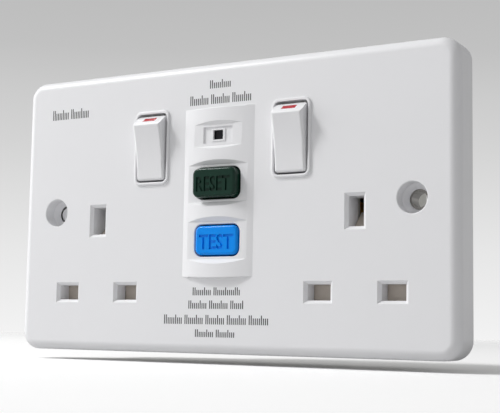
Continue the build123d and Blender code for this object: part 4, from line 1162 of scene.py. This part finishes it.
# floor's radius, lamps' places and sizes in metres, and the camera's place in mm and turn in degrees
FLOOR_REACH = 0.9
KEY_LAMP = ((-0.70, -0.47, 0.86), 0.25)
SOFT_LAMP = ((-1.44, -0.56, 0.42), 1.0)
CAMERA_PLACE = (167.77, -285.18, -34.25)
CAMERA_TURN = (96.074, -0.94, 29.66)


class SOCKET_OT_stage(bpy.types.Operator):
    """Set up the floor, the lamps, the backdrop and the camera"""

    bl_idname = "wall_socket.stage"
    bl_label = "Studio"

    def execute(self, context):
        scene = context.scene
        studio = scene.socket_studio
        deselect()
        bpy.ops.mesh.primitive_circle_add(
            vertices=96, radius=FLOOR_REACH, fill_type="NGON", location=(0, 0, plate_low.z - studio.drop)
        )
        floor = settle("floor")
        paper = floor_finish(FLOOR_REACH, studio.paper, studio.bounce, studio.glow)
        floor.data.materials.append(paper)
        lamp("key_lamp", studio.key_power, *KEY_LAMP)
        lamp("soft_lamp", studio.soft_power, *SOFT_LAMP)
        paint_world(studio.ambient, studio.shade_side)

        bpy.ops.object.camera_add(
            location=[c * MM for c in CAMERA_PLACE],
            rotation=[math.radians(turn) for turn in CAMERA_TURN],
        )
        camera = context.object
        camera.data.sensor_width = 36.0
        camera.data.lens = studio.lens
        camera.data.clip_start = 0.01
        camera.data.clip_end = 20.0
        scene.camera = camera
        scene.view_settings.view_transform = "Standard"
        return {"FINISHED"}


class SOCKET_PT_panel(bpy.types.Panel):
    """Lists the pieces and their sizes"""

    bl_label = "Wall socket"
    bl_idname = "SOCKET_PT_panel"
    bl_space_type = "VIEW_3D"
    bl_region_type = "UI"
    bl_category = "Wall socket"

    def draw(self, context):
        for operator in OPERATORS:
            self.layout.operator(operator.bl_idname)
        for group in GROUPS:
            box = self.layout.box()
            settings = getattr(context.scene, group)
            for name in GROUPS[group].__annotations__:
                box.prop(settings, name)


GROUPS = {
    "socket_plate": PlateSizes,
    "socket_buttons": ButtonSizes,
    "socket_back": BackSizes,
    "socket_finishes": FinishColours,
    "socket_studio": StudioSettings,
}
OPERATORS = (
    SOCKET_OT_inner_finishes,
    SOCKET_OT_front_plate,
    SOCKET_OT_print_rows,
    SOCKET_OT_buttons,
    SOCKET_OT_rear_housing,
    SOCKET_OT_stage,
)


def register():
    for group, kind in GROUPS.items():
        bpy.utils.register_class(kind)
        setattr(bpy.types.Scene, group, bpy.props.PointerProperty(type=kind))
    for kind in (*OPERATORS, SOCKET_PT_panel):
        bpy.utils.register_class(kind)


def unregister():
    for kind in (SOCKET_PT_panel, *OPERATORS):
        bpy.utils.unregister_class(kind)
    for group, kind in GROUPS.items():
        delattr(bpy.types.Scene, group)
        bpy.utils.unregister_class(kind)


def main():
    register()
    finishes.update(make_finishes(bpy.context.scene.socket_finishes))
    bpy.ops.wall_socket.inner_finishes()
    bpy.ops.wall_socket.front_plate()
    bpy.ops.wall_socket.print_rows()
    bpy.ops.wall_socket.buttons()
    bpy.ops.wall_socket.rear_housing()
    bpy.ops.wall_socket.stage()


if __name__ == "__main__":
    main()
